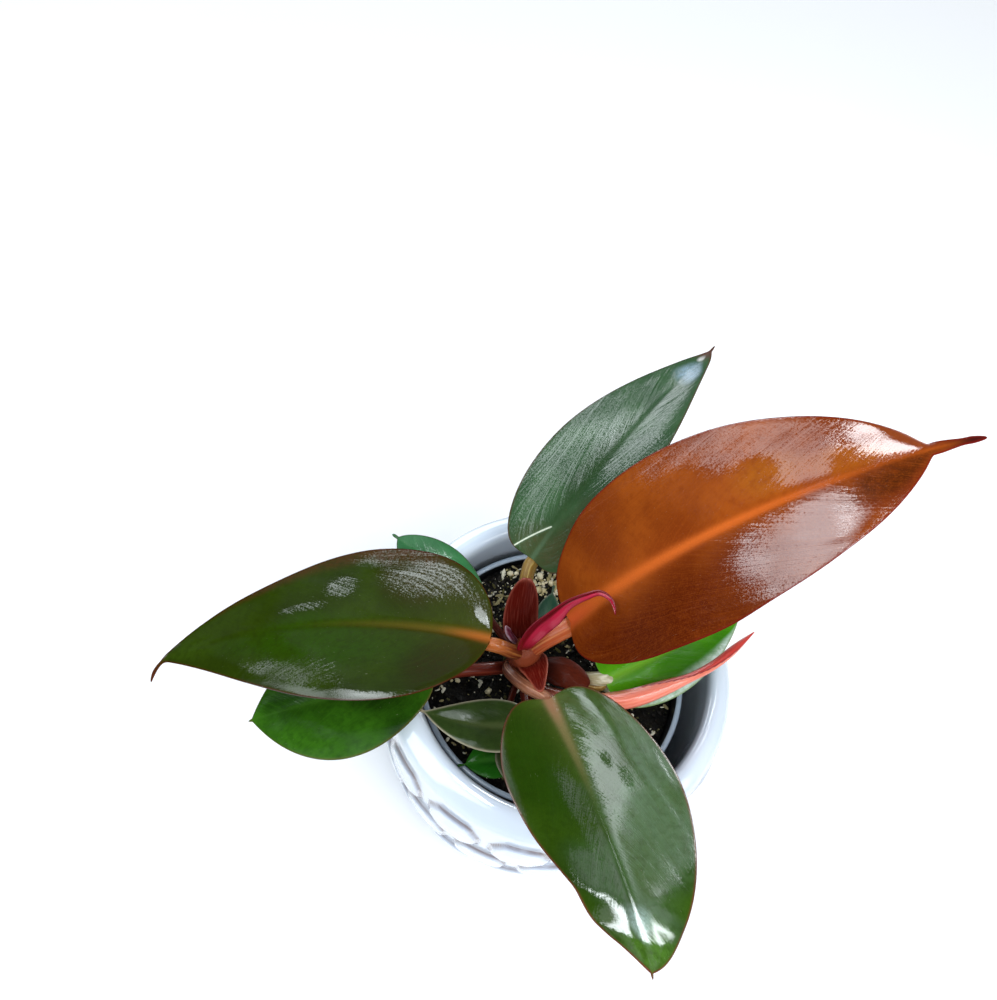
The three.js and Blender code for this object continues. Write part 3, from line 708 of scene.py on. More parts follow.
PALE_CREASE, PALE_DOT = "d4dcc8", "cdcdaa"
LOOKS = {
    "leaf_sun": dict(
        dark="702e0c", light="944814", rib="d06628", glow="a84c16", margin="701812", under="962818",
        # The first zone, dark red-brown over the lower half towards the base, is partly the leaf's own colour and
        # partly painted shade.
        tip="3a120f", speck=0.25, gloss=0.34, zones=[(0.3, 0.75, 0.42, 0.78, "501805", 1),
        (0.68, 0.62, 0.3, 0.6, "682814", 0.85), (0.6, -0.32, 0.09, 0.3, "a46014", 0.5),
        (0.76, -0.26, 0.09, 0.26, "a45e16", 0.5), (0.81, 0.35, 0.12, 0.45, "421c08", 1),
        (0.9, -0.5, 0.08, 0.5, "682814", 0.7)], shine=[(0.46, -0.9, 0.28, 0.25, 0.5),
        (0.61, -0.75, 0.15, 0.45, 0.75), (0.67, -0.35, 0.09, 0.5, 0.8), (0.59, -0.42, 0.05, 0.22, 0.1),
        (0.64, 0.62, 0.19, 0.7, 0.95), (0.76, -0.2, 0.05, 0.25, 0.1), (0.79, 0.42, 0.07, 0.4, 0),
        (0.84, -0.66, 0.075, 0.6, 1.5)], wax=0.03, streaky=1.3, grainy=1, root="cc582c",
    ),
    "leaf_left": dict(
        dark="1e2a05", light="2a3c06", rib="5c4c1c", glow="423c10", margin="4a1a10", under="5c2c18",
        tip="462812", speck=0.25, gloss=0.3, zones=[(0.45, -0.25, 0.35, 0.5, "264405", 0.9),
        (0.15, 0.7, 0.22, 0.5, "302a0a", 0.8), (0.5, 1, 0.5, 0.25, "4a2814", 0.8),
        (0.85, 0, 0.14, 0.8, "30460c", 0.8), (0.06, -0.5, 0.16, 0.6, "282208", 0.8)],
        shine=[(0.16, 0.7, 0.19, 0.4, 0.52), (0.31, 0.85, 0.1, 0.18, 0.46), (0.03, 0.48, 0.03, 0.16, 1.3),
        (0.4, 0.5, 0.06, 0.19, 0.5), (0.5, 0.3, 0.09, 0.09, 0.46), (0.52, -0.74, 0.2, 0.34, 0.6),
        (0.42, -0.98, 0.27, 0.12, 1.4), (0.9, 0.8, 0.05, 0.3, 0.9)], wax=0.03, streaky=1, grainy=0.8,
        root="965422",
    ),
    "leaf_front": dict(
        dark="223a08", light="324e0e", rib="84764e", glow="545c2c", margin="70342c", under="6e321e",
        # The sage green zones, over the right half and across the blade towards the tip, are painted sheen, and the
        # pale b0ccc4 patch over the midrib near the tip is a painted highlight.
        speck=0.5, gloss=0.34, zones=[(0.4, -0.55, 0.6, 0.75, "4e6e48", 0.8),
        (0.7, 0.1, 0.16, 0.8, "48683e", 0.7), (0.35, 0.6, 0.35, 0.45, "26460a", 0.8),
        (0.93, 0, 0.1, 1.2, "54802c", 0.85), (0.3, -0.4, 0.12, 0.2, "2a3e10", 0.6),
        (0.4, -0.2, 0.1, 0.16, "2c4210", 0.6), (0.85, 0.02, 0.06, 0.3, "b0ccc4", 0.75)],
        shine=[(0.34, -0.6, 0.5, 0.7, 0.95), (0.65, -0.25, 0.24, 0.72, 0.9), (0.72, 0.45, 0.12, 0.5, 0.7),
        (0.45, 0.25, 0.25, 0.22, 0.55), (0.2, -0.42, 0.035, 0.07, 0.46), (0.31, -0.33, 0.05, 0.08, 0.42),
        (0.39, -0.44, 0.07, 0.09, 0.46), (0.35, 0.98, 0.32, 0.12, 0.9), (0.855, -0.1, 0.055, 1.3, 1.6),
        (0.97, 0, 0.07, 1.2, 0.1)], wax=0.03, streaky=1.2, grainy=0.8, root="967054",
    ),
    "leaf_back": dict(
        dark="264628", light="3e603c", rib="546c50", glow="405432", margin="54382c", under="5c3c28",
        tip="5c3a30", speck=0.5, gloss=0.36, grain=1.6, zones=[(0.35, -0.1, 0.35, 0.22, "223a1c", 0.7),
        (0.13, 0.5, 0.2, 0.6, "463e24", 0.9), (0.03, 0, 0.12, 0.9, "504830", 0.9),
        # The blue-white patch near the tip is a painted highlight, and the small white dot by the tip a painted
        # glint.
        (0.975, 0, 0.055, 1.5, "5c4c46", 1), (0.85, 0.1, 0.06, 0.7, "96b2c8", 0.85),
        (0.925, -0.15, 0.02, 0.35, "fafaf8", 1)], shine=[(0.42, -0.55, 0.5, 0.62, 0.6),
        (0.66, 0.2, 0.34, 0.8, 0.68), (0.12, 0.5, 0.14, 0.5, 0.2)], wax=0.05, streaky=2, grainy=0.9,
    ),
    "leaf_low_left": dict(
        dark="122e06", light="326212", rib="467028", glow="386218", margin="585028", under="3c5c28",
        gloss=0.34,
    ),
    "leaf_back_left": dict(
        dark="265c34", light="3e7c4c", rib="548654", glow="467e4a", margin="384e30", under="3c5432",
        gloss=0.34,
    ),
    "leaf_low_right": dict(
        dark="307008", light="4a9410", rib="6ea632", glow="54961a", margin="607832", under="507828",
        # The near-white zone along one edge of the blade is a painted highlight.
        gloss=0.3, zones=[(0.5, 1.05, 0.7, 0.42, "cededc", 1)],
    ),
    "leaf_inner_front": dict(
        dark="203012", light="344820", rib="546038", glow="3c4c24", margin="b0aa92", under="5c5434",
        tip="783824", gloss=0.34, shine=[(0.4, 0.3, 0.4, 0.6, 0.35)],
    ),
    "leaf_inner_low": dict(dark="14420c", light="225c14", rib="3c7028", margin="28501c", under="32461e"),
    "leaf_inner_dark": dict(dark="222816", light="343c22", rib="545c3c", margin="6e6a58", under="3c3a28"),
    "leaf_inner_back": dict(dark="18362a", light="2c4e3c", rib="46604c", margin="647060", under="324030"),
}
STALK_COLOURS = {
    "stalk_olive": ("5a3018", "86682c", "ceb874"),
    "stalk_amber": ("4c180c", "985022", "b87c3e"),
    "stalk_red": ("46140c", "602014", "7a341e"),
    "stalk_orange": ("8c3a20", "b4582a", "cc8854"),
    "stalk_brown": ("4c1e12", "8c5c42", "b07c5c"),
}
STALKS = {
    "leaf_sun": "stalk_orange", "leaf_left": "stalk_amber", "leaf_front": "stalk_brown",
    "leaf_back": "stalk_olive", "leaf_low_right": "stalk_olive",
}
SLOTS = {"leaf_sun": "copper_leaf", "leaf_inner_dark": "dark_leaf"}

stalk_skins = {name: stalk_material(name, *colours) for name, colours in STALK_COLOURS.items()}
for name, leaf in LEAVES.items():
    skins = leaf_material("skin_" + name, **LOOKS[name]), stalk_skins[STALKS.get(name, "stalk_red")]
    place(grow_leaf(name, {**LEAF, **leaf}, skins), SLOTS.get(name, "green_leaf"), name)


# Sheaths. Their width is either a row of widths from root to tip, or one width that narrows to the neck at the
# root, with a tip that is rounder the higher blunt is.

SHEATHS = {
    "sheath_upright": dict(
        points=[(-15.8, 0, 120), (-18.5, 4.8, 130), (-19.5, 14, 146)], width=12.6, neck=0.62, hollow=30,
        lean=(0, -0.5, 0.8), blunt=5,
    ),
    "sheath_crimson": dict(
        points=[(-15.6, -4.2, 122), (-15.8, -4, 129), (-12.4, -0.9, 141), (-9.1, 0.3, 149),
        (-5.2, 2.8, 156.5), (-0.3, 3.9, 163), (3.6, 4.4, 166.5), (6.9, 2.3, 168), (8.5, -0.2, 168),
        (9.3, -2.6, 167.5)], widths=(3.4, 4.8, 6.8, 6.2, 3.6, 2.4, 1.8, 1.4, 1, 0.6), hollow=50,
        lean=(0.25, -0.5, 0.8),
    ),
    "sheath_front": dict(
        points=[(-12.1, -4.2, 119), (-9.6, -11.2, 124), (-7.4, -19.2, 128.5)],
        widths=(9.5, 11, 10.4, 8.6, 6.6, 4.6, 2.6), hollow=14, lean=(0, -0.35, 0.93),
    ),
    "sheath_broad": dict(
        points=[(-7.5, -4, 111), (1.5, -5.6, 114.6), (10.6, -8.6, 114)], width=11, neck=0.7, hollow=-24,
        lean=(0.2, -0.2, 0.9), blunt=4,
    ),
    "sheath_curl": dict(
        points=[(-17.2, -1.2, 122), (-21.3, -1.4, 131), (-23.6, -2.4, 139.5)], width=3.2, neck=0.6,
        hollow=50, lean=(-0.6, 0, 0.8), blunt=2,
    ),
}


def grow_sheath(name, sheath, material):
    t1 = crowded(SHEATH_ROWS, 0.5)
    path = catmull(sheath["points"], SHEATH_ROWS * 4)
    x = np.linspace(0, 1, len(path))
    here, along = sampled(t1, x, path), unit(sampled(t1, x, unit(np.gradient(path, axis=0))))
    side = unit(np.cross(along, unit(np.array(sheath["lean"], float))))
    up = np.cross(side, along)
    bow = math.radians(abs(sheath["hollow"]))
    if "widths" in sheath:
        half = width_curve(sheath["widths"], t1) / 2 * np.sqrt(np.clip(1 - t1 ** 24, 0, 1))
    else:
        waist = sheath["neck"] + (1 - sheath["neck"]) * np.clip(t1 / 0.35, 0, 1)
        half = sheath["width"] / 2 * waist * np.sqrt(np.clip(1 - t1 ** sheath["blunt"], 0, 1))
    v1 = np.linspace(-1, 1, SHEATH_COLUMNS + 1)
    t, v = np.meshgrid(t1, np.sin(v1 * math.pi / 2) * 0.35 + v1 * 0.65, indexing="ij")
    radius = (half / math.sin(bow))[:, None]
    sag = np.sign(sheath["hollow"]) * radius * (1 - np.cos(bow * v))
    middle = here[:, None] + side[:, None] * (radius * np.sin(bow * v))[..., None] + up[:, None] * sag[..., None]
    normal = grid_normals(middle, ((-1, -2),))
    keel = 0.25 * bell(v / 0.12) * (1 - t)
    swell = 0.16 * noise(xyz(t * 5, v * 2.2, 0), sum(map(ord, name))) * step(0, 0.15, 1 - np.abs(v))
    edge = np.sqrt(np.clip(1 - np.abs(v) ** 8, 0, 1)) * np.clip(half / 1.2, 0, 1)[:, None]
    top = middle + normal * (SHEATH_BLADE / 2 * edge + swell)[..., None]
    bottom = middle - normal * (SHEATH_BLADE / 2 * edge - swell + keel)[..., None]
    to_edge = np.minimum((1 - np.abs(v)) * half[:, None], (1 - t) * 14)
    shape = Shape()
    shape.add_sheet(
        top, bottom, t, v, xyz(v * half[:, None] / 10, t, 0), xyz(bell(v / 0.1), 1 - t, bell(to_edge / 0.45)), True
    )
    return shape.piece("fine_" + name, material)


def sheath_material(name, root, inner, outer, margin, gloss=0.38, coat=0.2, fold=None, root_end=0.55):
    """Skin of a sheath. fold colours its left side, where it is creased lengthwise."""
    g = Graph(name, gloss, Coat_Weight=coat, Coat_Roughness=0.15, Specular_IOR_Level=0.03)
    t, across, face = g.parts(g.attribute("leaf"))
    edge = g.parts(g.attribute("mask"))[2]
    lines_at = g.attribute("vein")
    lines = g.noise(lines_at, (22, 3, 1), 3, 0.6)
    spots = g.noise(lines_at, (5, 6, 1), 3, 0.6)
    return g.finish(
        outer, (inner, face, -0.2, 0.2), (fold, across, -0.3, 0, 1, 0), (root, t, root_end * 0.2, root_end, 1, 0),
        (margin, lines, 0.45, 0.75, 0, 0.4), (root, spots, 0.45, 0.8, 0, 0.5), (margin, g.times(edge, 0.7)),
        Normal=g.bump(lines, 0.00025, 0.5),
    )


SHEATH_LOOKS = {
    "sheath_upright": dict(
        root="380905", inner="480b05", outer="42100a", margin="804236", coat=0.06, gloss=0.5,
    ),
    "sheath_crimson": dict(
        root="680a0e", inner="b22240", outer="680c1a", margin="761022", fold="600814", root_end=0.24,
        coat=0.4,
    ),
    "sheath_front": dict(root="3e0905", inner="520b05", outer="460c07", margin="964e3c", coat=0.08),
    "sheath_broad": dict(
        root="260905", inner="4a1809", outer="3c1008", margin="3a0e08", gloss=0.55, coat=0.04,
    ),
    "sheath_curl": dict(root="460e22", inner="681e40", outer="54142e", margin="c8b0be", coat=0.8),
}
for name, sheath in SHEATHS.items():
    place(grow_sheath(name, sheath, sheath_material("skin_" + name, **SHEATH_LOOKS[name])), "red_sheath", name)


# Furled new leaf: a blade still rolled round itself, with the free edge winding along it

FURLED_BENDS = [
    (-4, -10.2, 104), (6, -12.5, 108.5), (21.6, -13.2, 117.5), (37.7, -6, 122), (50.8, 1.8, 128.5), (61.6, 12.2, 142),
]
FURLED_RADII = (1.7, 2, 2.4, 2.7, 2.9, 3.1, 3.3, 3.2, 2.5, 1.6, 1.6, 1.5, 0.2)


def furled_leaf():
    path = catmull([stem_at(0.53), *FURLED_BENDS], 150)
    stations = np.linspace(0, 1, len(path))

    def from_seam(t, angle):
        return (angle - (6 * (t - 0.6) - 1)) % TURN / TURN

    def profile(t, angle):
        rolled = step(0.2, 0.4, t) * (1 - step(0.97, 1, t))
        return 1 + rolled * (0.16 * (from_seam(t, angle) - 0.5) + 0.05 * math.cos(2 * angle - 3 * t))

    ups = carried_up(path, np.array([0, 0, 1.0]))
    points, faces, t, angle = tube(path, width_curve(FURLED_RADII, stations), ups, stations, 40, profile)
    turn = from_seam(t, angle)
    g = Graph("skin_furled_leaf", 0.32, Coat_Weight=0.5, Coat_Roughness=0.12)
    t_at, turn_at, _ = g.parts(g.attribute("leaf"))
    seam = g.parts(g.attribute("mask"))[0]
    lines = g.noise(g.attribute("vein"), (0.7, 7, 7), 3, 0.6)
    skin = g.finish(
        "602214", ("e2745c", t_at, 0.15, 0.42), ("ee9c80", lines, 0.45, 0.75, 0, 0.6),
        ("c42e20", g.times(g.between(turn_at, 0.6, 0.72), g.between(t_at, 0.45, 0.6))),
        ("701016", g.times(seam, g.between(t_at, 0.4, 0.5))), Normal=g.bump(lines, 0.0003, 0.5),
    )
    return solid(
        "fine_furled_leaf", points, faces, skin, leaf=xyz(t, turn, angle),
        vein=xyz(t * 10, np.cos(angle), np.sin(angle)), mask=xyz(bell((1 - turn) / 0.045), 0, 0),
    )


place(furled_leaf(), "salmon_leaf", "furled_leaf")


# Stem, with the ring scars of old leaves

def stem():
    path = np.array([stem_at(t) for t in np.linspace(0, 1, 90)])
    stations = np.linspace(0, 1, len(path))
    girth = np.interp(stations, [0, 0.3, 0.6, 0.85, 0.95, 1], [0.8, 0.92, 1, 0.98, 0.82, 0.42])
    radii = (girth - 0.03 * np.sin(stations * 52) ** 8 * step(0.2, 0.4, stations)) * STEM_RADIUS
    ups = carried_up(path, np.array([0, 1.0, 0]))
    points, faces, t, angle = tube(
        path, radii, ups, stations, 40, lambda t, angle: 0.95 + 0.04 * math.cos(3 * angle + 4 * t)
    )
    g = Graph("skin_stem", 0.5, Specular_IOR_Level=0.15)
    around = g.attribute("vein")
    lines = g.noise(around, (1, 4, 4), 4, 0.65)
    bark = g.finish(
        "40120c", ("78301c", lines, 0.35, 0.7), ("604a28", g.noise(around, 3, 3), 0.5, 0.75, 0, 0.5),
        ("682c16", g.parts(around)[0], 5.2, 5.7), Normal=g.bump(lines, 0.0005, 0.6),
    )
    return solid("fine_stem", points, faces, bark, vein=xyz(t * 6, np.cos(angle), np.sin(angle)))


place(stem(), "stem_bark", "stem")


# Cover pot

def pot_radius(z):
    fall = 1 - z / POT_HEIGHT
    return BASE_RADIUS + (RIM_RADIUS - BASE_RADIUS) * (1 - fall ** BODY_ROUNDNESS) ** (1 / BODY_ROUNDNESS)


def tile_distance(x, y, height):
    """Distance in millimetres inside one tile's outline, with its corners rounded; below 0 outside."""
    half = TILE_WIDTH / 2
    corners = [(u * (half - TILE_CORNER), (v - 0.5) * (height - 2 * TILE_CORNER)) for u, v in TILE_OUTLINE]
    inside = np.full(x.shape, 1e9)
    nearest = np.full(x.shape, 1e9)
    for (ax, ay), (bx, by) in zip(corners, corners[1:] + corners[:1]):
        ex, ey = bx - ax, by - ay
        nearest = np.minimum(nearest, segment_distance(x, y, np.array([ax, ay]), np.array([bx, by])))
        inside = np.minimum(inside, ((y - ay) * ex - (x - ax) * ey) / -math.hypot(ex, ey))
    return np.where(inside > 0, nearest, -nearest) + TILE_CORNER


def tile_field(theta, z):
    """How far inside a tile a point of the wall lies, and the tile's number."""
    best = np.full(theta.shape, -1e9)
    number = np.zeros(theta.shape)
    pitch = TURN / TILES_PER_ROW
    for row in range(TILE_ROWS):
        top = TILE_TOP - TILE_PITCH * row
        height = TILE_HEIGHT - 3 if row == TILE_ROWS - 1 else TILE_HEIGHT
        turn = (theta - math.radians(TILE_PHASE)) / pitch - (row % 2) / 2
        k = np.round(turn)
        wobble = 0.35 * noise(xyz((turn - k) * pitch * RIM_RADIUS / 5 + k * 7, z / 6, row), 5)
        d = tile_distance((turn - k) * pitch * RIM_RADIUS, z - (top - height / 2), height) + wobble
        number = np.where(d > best, k + row * 20, number)
        best = np.maximum(best, d)
    return best, number


def cover_pot():
    theta = turns(POT_SIDES)
    wall = np.concatenate([[0.35, 0.9, 1.6], np.linspace(2.4, 98, POT_ROWS)])
    foot_round = 1.5 * np.clip(1 - wall / 1.6, 0, None) ** 2
    outer_lip = ((0, 100.5), (0.1, 102.6), (0.45, 104.4), (1.1, 105.9), (2.1, 107), (3.3, 107.7), (4.6, POT_HEIGHT),
                 (5.9, 107.95), (7.1, 107.5), (8.1, 106.6))
    inner_wall = ((-0.3, 105.4), (-0.05, 103.8), (0, 102), (0, 96), (0, 88), (0, 80), (0, 72), (0.1, 62), (0.4, 46),
                  (1.4, 34), (3.4, 23), (6, 16.5), (9, 11), (12, 8), (16, POT_FLOOR), (36, POT_FLOOR))
    rings = [(r, 0, False) for r in (20, FOOT_RADIUS - 1, FOOT_RADIUS + 1.6)]
    rings += [(r, z, True) for r, z in zip(pot_radius(wall) - foot_round, wall)]
    rings += [(RIM_RADIUS - d, z, False) for d, z in outer_lip]
    rings += [(MOUTH_RADIUS - d, z, False) for d, z in inner_wall]
    points, masks = [], []
    for r, z, tiled in rings:
        height = line = soft = 0
        if tiled:
            inside, number = tile_field(theta, z)
            height = (TILE_RELIEF + TILE_LEAN * np.sin(number * 12.9)) * step(-1.4, 1.1, inside)
            height += TILE_DOME * step(1, 9, inside)
            # soft is a wider band round each outline, which carries painted shade at the edges of the tiles.
            line, soft = bell((inside + 0.75) / 0.8), bell((inside + 0.5) / 1.8)
        ripple = GLAZE_RIPPLE * noise(xyz(np.cos(theta) * 4, np.sin(theta) * 4, z / 18), 3) * (2 < z < 107)
        # The mouth is thrown a little off the outer wall, so the lip is thickest at the front left.
        shift = 0 if tiled or r > RIM_RADIUS - 3 else MOUTH_SHIFT * float(step(76, 98, z))
        radius = r + height + ripple - shift
        points.append(xyz(radius * np.cos(theta) + shift, radius * np.sin(theta) + shift, z))
        masks.append(xyz(line, soft, theta * 0))
    points = np.concatenate(points + [[[0, 0, 0], [0, 0, POT_FLOOR]]])
    g = Graph("glaze", 0.14, Coat_Weight=0.6, Coat_Roughness=0.05)
    line, soft, _ = g.parts(g.attribute("mask"))
    where = g.place()
    ink = g.times(line, g.between(g.noise(where, 60, 3, 0.6), 0.34, 0.6, 0.35, 1))
    # The bluish grey laid over the soft band round each tile's outline is painted shade at the edges of the raised
    # tiles.
    glaze = g.finish(
        "dce7f2", ("ccdbec", g.noise(where, 22), 0.35, 0.7), ("acb4cc", g.times(soft, 0.6)), ("624e4c", ink),
        Normal=g.bump(g.noise(where, 140), 0.0004, 0.12),
    )
    mask = np.concatenate(masks + [np.zeros((2, 3))])
    return solid("fine_cachepot", points, ring_faces(len(rings), POT_SIDES, True), glaze, mask=mask)


place(cover_pot(), "glaze", "cachepot")


# Nursery pot

def nursery_pot():
    top, base, wall = NURSERY_TOP, POT_FLOOR + GAP, NURSERY_WALL
    shoulder = top - NURSERY_LIP_HEIGHT
    outer, throat, foot = NURSERY_RIM_RADIUS, NURSERY_RIM_RADIUS - NURSERY_LIP, NURSERY_BASE_RADIUS
    profile = [
        (foot - 2, base), (foot, base + 0.6), (throat - 0.7, shoulder - 0.4), (throat - 0.2, shoulder),
        (outer - 0.6, shoulder), (outer - 0.35, shoulder + 0.4), (outer - 0.05, top - 1.2),
        (outer - 0.15, top - 0.6), (outer - 0.45, top - 0.2), (outer - 0.85, top), (throat + 0.75, top),
        (throat + 0.35, top - 0.2), (throat + 0.1, top - 0.6), (throat, top - 1.2), (throat - 0.35, shoulder),
        (throat - 0.7 - wall, shoulder - 2), (foot - wall, base + wall + 0.5), (foot - wall - 2, base + wall),
    ]
    sides, (cx, cy) = 160, NURSERY_CENTRE
    angles = turns(sides)
    points = [xyz(cx + r * np.cos(angles), cy + r * np.sin(angles), z) for r, z in profile]
    points = np.concatenate(points + [[[cx, cy, base], [cx, cy, base + wall]]])
    g = Graph("black_plastic", 0.36, Coat_Weight=0.1, Coat_Roughness=0.3)
    where = g.place()
    # A band along the top of the rim is painted sheen: pale blue-grey standing for the sky's reflection on the black
    # plastic.
    rim = g.between(g.parts(where)[2], (top - 0.9) * MM, (top - 0.2) * MM)
    plastic = g.finish(
        "0c0c0e", ("222224", g.noise(where, 120, 3, 0.6), 0.4, 0.8, 0, 0.5), ("96a6b6", g.times(rim, 0.9)),
        Normal=g.bump(g.noise(where, 900, 3, 0.6), 0.00008, 0.3),
    )
    return solid("fine_nursery_pot", points, ring_faces(len(profile), sides, True), plastic)


place(nursery_pot(), "black_plastic", "nursery_pot")


# Soil: a crumbly surface with loose crumbs, pale grains of perlite and litter. Its x and y are from the nursery
# pot's axis.

# Height, width and seed of the lumps of each size
SOIL_LUMPS = ((1.3, 17, 11), (0.8, 6, 12), (0.55, 2.6, 13), (0.3, 1.3, 14))


def soil_height(x, y):
    at = xyz(x, y, 0.0)
    height = sum(high * noise(at / wide, seed) for high, wide, seed in SOIL_LUMPS)
    heap = SOIL_HEAP * step(4, 38, y)
    return SOIL_TOP + 0.4 + heap + height * 0.75 - step(SOIL_RADIUS - 4, SOIL_RADIUS, np.hypot(x, y))


def somewhere(draw, radius):
    """A random place within a radius of the nursery pot's axis."""
    r, a = radius * math.sqrt(draw.random()), draw.random() * TURN
    return r * math.cos(a), r * math.sin(a)


def on_soil(x, y, lift=0.0):
    """The point of the soil's surface at a place, lifted."""
    return np.array([x + NURSERY_CENTRE[0], y + NURSERY_CENTRE[1], float(soil_height(float(x), float(y))) + lift])


def add_grain(shape, draw, x, y, size, stretch):
    """One irregular grain, sunk a quarter into the soil."""
    points, faces = ball(2)
    lumps = 1 + 0.28 * noise(points * 1.3 + draw.random(3) * 50, 21)
    lumps += 0.12 * noise(points * 3 + draw.random(3) * 50, 22)
    points = points * lumps[:, None] * np.array(stretch) * size / 2
    turn = Matrix.Rotation(draw.random() * 6.28, 3, "Z") @ Matrix.Rotation(draw.random() * 0.9, 3, "X")
    points = points @ np.array(turn).T
    shape.add(points + on_soil(x, y, -points[:, 2].min() / 2), faces)


def soil():
    sides = 260
    angles = turns(sides)
    rings = [
        xyz(r * np.cos(angles), r * np.sin(angles), float(z))
        for r, z in ((NURSERY_BASE_RADIUS - 2.4, POT_FLOOR + 2), (SOIL_RADIUS - 1.8, 84), (SOIL_RADIUS - 0.2, 86.4))
    ]
    for r in SOIL_RADIUS * np.linspace(1, 0.004, 96):
        x, y = r * np.cos(angles), r * np.sin(angles)
        rings.append(xyz(x, y, soil_height(x, y)))
    points = np.concatenate(rings + [[[0, 0, POT_FLOOR + 2], [0, 0, float(soil_height(0.0, 0.0))]]])
    shape = Shape()
    shape.add(points + [*NURSERY_CENTRE, 0], ring_faces(len(rings), sides, True))
    draw = np.random.default_rng(SEED)
    for _ in range(CRUMBS):
        size = 0.5 + 1.5 * draw.random() ** 3
        x, y = somewhere(draw, SOIL_RADIUS - 1.6)
        add_grain(shape, draw, x, y, size, (1 + 1.8 * draw.random() ** 2, 1, 0.7))
    g = Graph("potting_soil", Specular_IOR_Level=0.06)
    where = g.place()
    clod, crumb = g.noise(where, 260, 4, 0.65), g.noise(where, 900, 4, 0.7)
    earth = g.finish(
        "040404", ("110e0a", clod, 0.35, 0.7), ("564a36", crumb, 0.6, 0.78, 0, 0.6),
        ("3c3e24", g.cells(where, 480), 0.05, 0.25, 0.35, 0), Roughness=g.between(crumb, 0.3, 0.7, 0.42, 0.9),
        Normal=g.bump(g.plus(clod, g.times(crumb, 0.5)), 0.0012, 0.9),
    )
    return shape.piece("fine_soil", earth)


def perlite():
    draw = np.random.default_rng(SEED + 1)
    shape = Shape()
    for _ in range(PERLITE_GRAINS):
        size = 0.7 + 2.1 * draw.random() ** 2.2
        if draw.random() < 0.45:
            x, y = -6 + 26 * (draw.random() - 0.5), 33 + 16 * (draw.random() - 0.5)
        else:
            x, y = somewhere(draw, SOIL_RADIUS - 2)
        if math.hypot(x, y) <= SOIL_RADIUS - 2:
            add_grain(shape, draw, x, y, size, (1.2, 1, 0.85))
    g = Graph("perlite", 0.75)
    where = g.place()
    pore = g.noise(where, 1400, 3, 0.7)
    stone = g.finish(
        "e2dabe", ("b0a478", g.noise(where, 160), 0.3, 0.7), ("786c4e", pore, 0.55, 0.75, 0, 0.5),
        Normal=g.bump(pore, 0.0003, 0.8),
    )
    return shape.piece("perlite_grains", stone)


def litter():
    """Bark, moss and fibre: small flat flakes, thickest behind the crown."""
    draw = np.random.default_rng(SEED + 2)
    shape = Shape()
    round_flake, faces = ball(1)
    count = len(round_flake)
    for _ in range(FLAKES):
        x, y = somewhere(draw, SOIL_RADIUS - 1.2)
        if draw.random() > (1 if y > 12 else 0.22):
            continue
        size = 0.5 + 1.6 * draw.random() ** 2
        long = 1 + 2.2 * draw.random() ** 3
        points = round_flake * (1 + 0.35 * (draw.random((count, 1)) - 0.5)) * np.array([long, 0.8, 0.4]) * size / 2
        turn = Matrix.Rotation(draw.random() * 6.28, 3, "Z") @ Matrix.Rotation((draw.random() - 0.5) * 1.6, 3, "Y")
        points = points @ np.array(turn).T + on_soil(x, y, 0.25 * size)
        shape.add(points, faces, leaf=np.tile([draw.random(), draw.random(), 0], (count, 1)))
    g = Graph("soil_litter", 0.7, Specular_IOR_Level=0.15)
    tone, shade, _ = g.parts(g.attribute("leaf"))
    grain = g.noise(g.place(), 1500, 3, 0.7)
    flakes = g.finish(
        "0e0b08", ("545028", tone, 0.42, 0.46), ("a69a6e", tone, 0.6, 0.64), ("e2dec8", tone, 0.8, 0.84),
        ("1e1810", grain, 0.4, 0.8, 0, 0.6), ("100c0a", g.times(shade, 0.4)), Normal=g.bump(grain, 0.0002, 0.6),
    )
    return shape.piece("soil_litter", flakes, smooth=False)


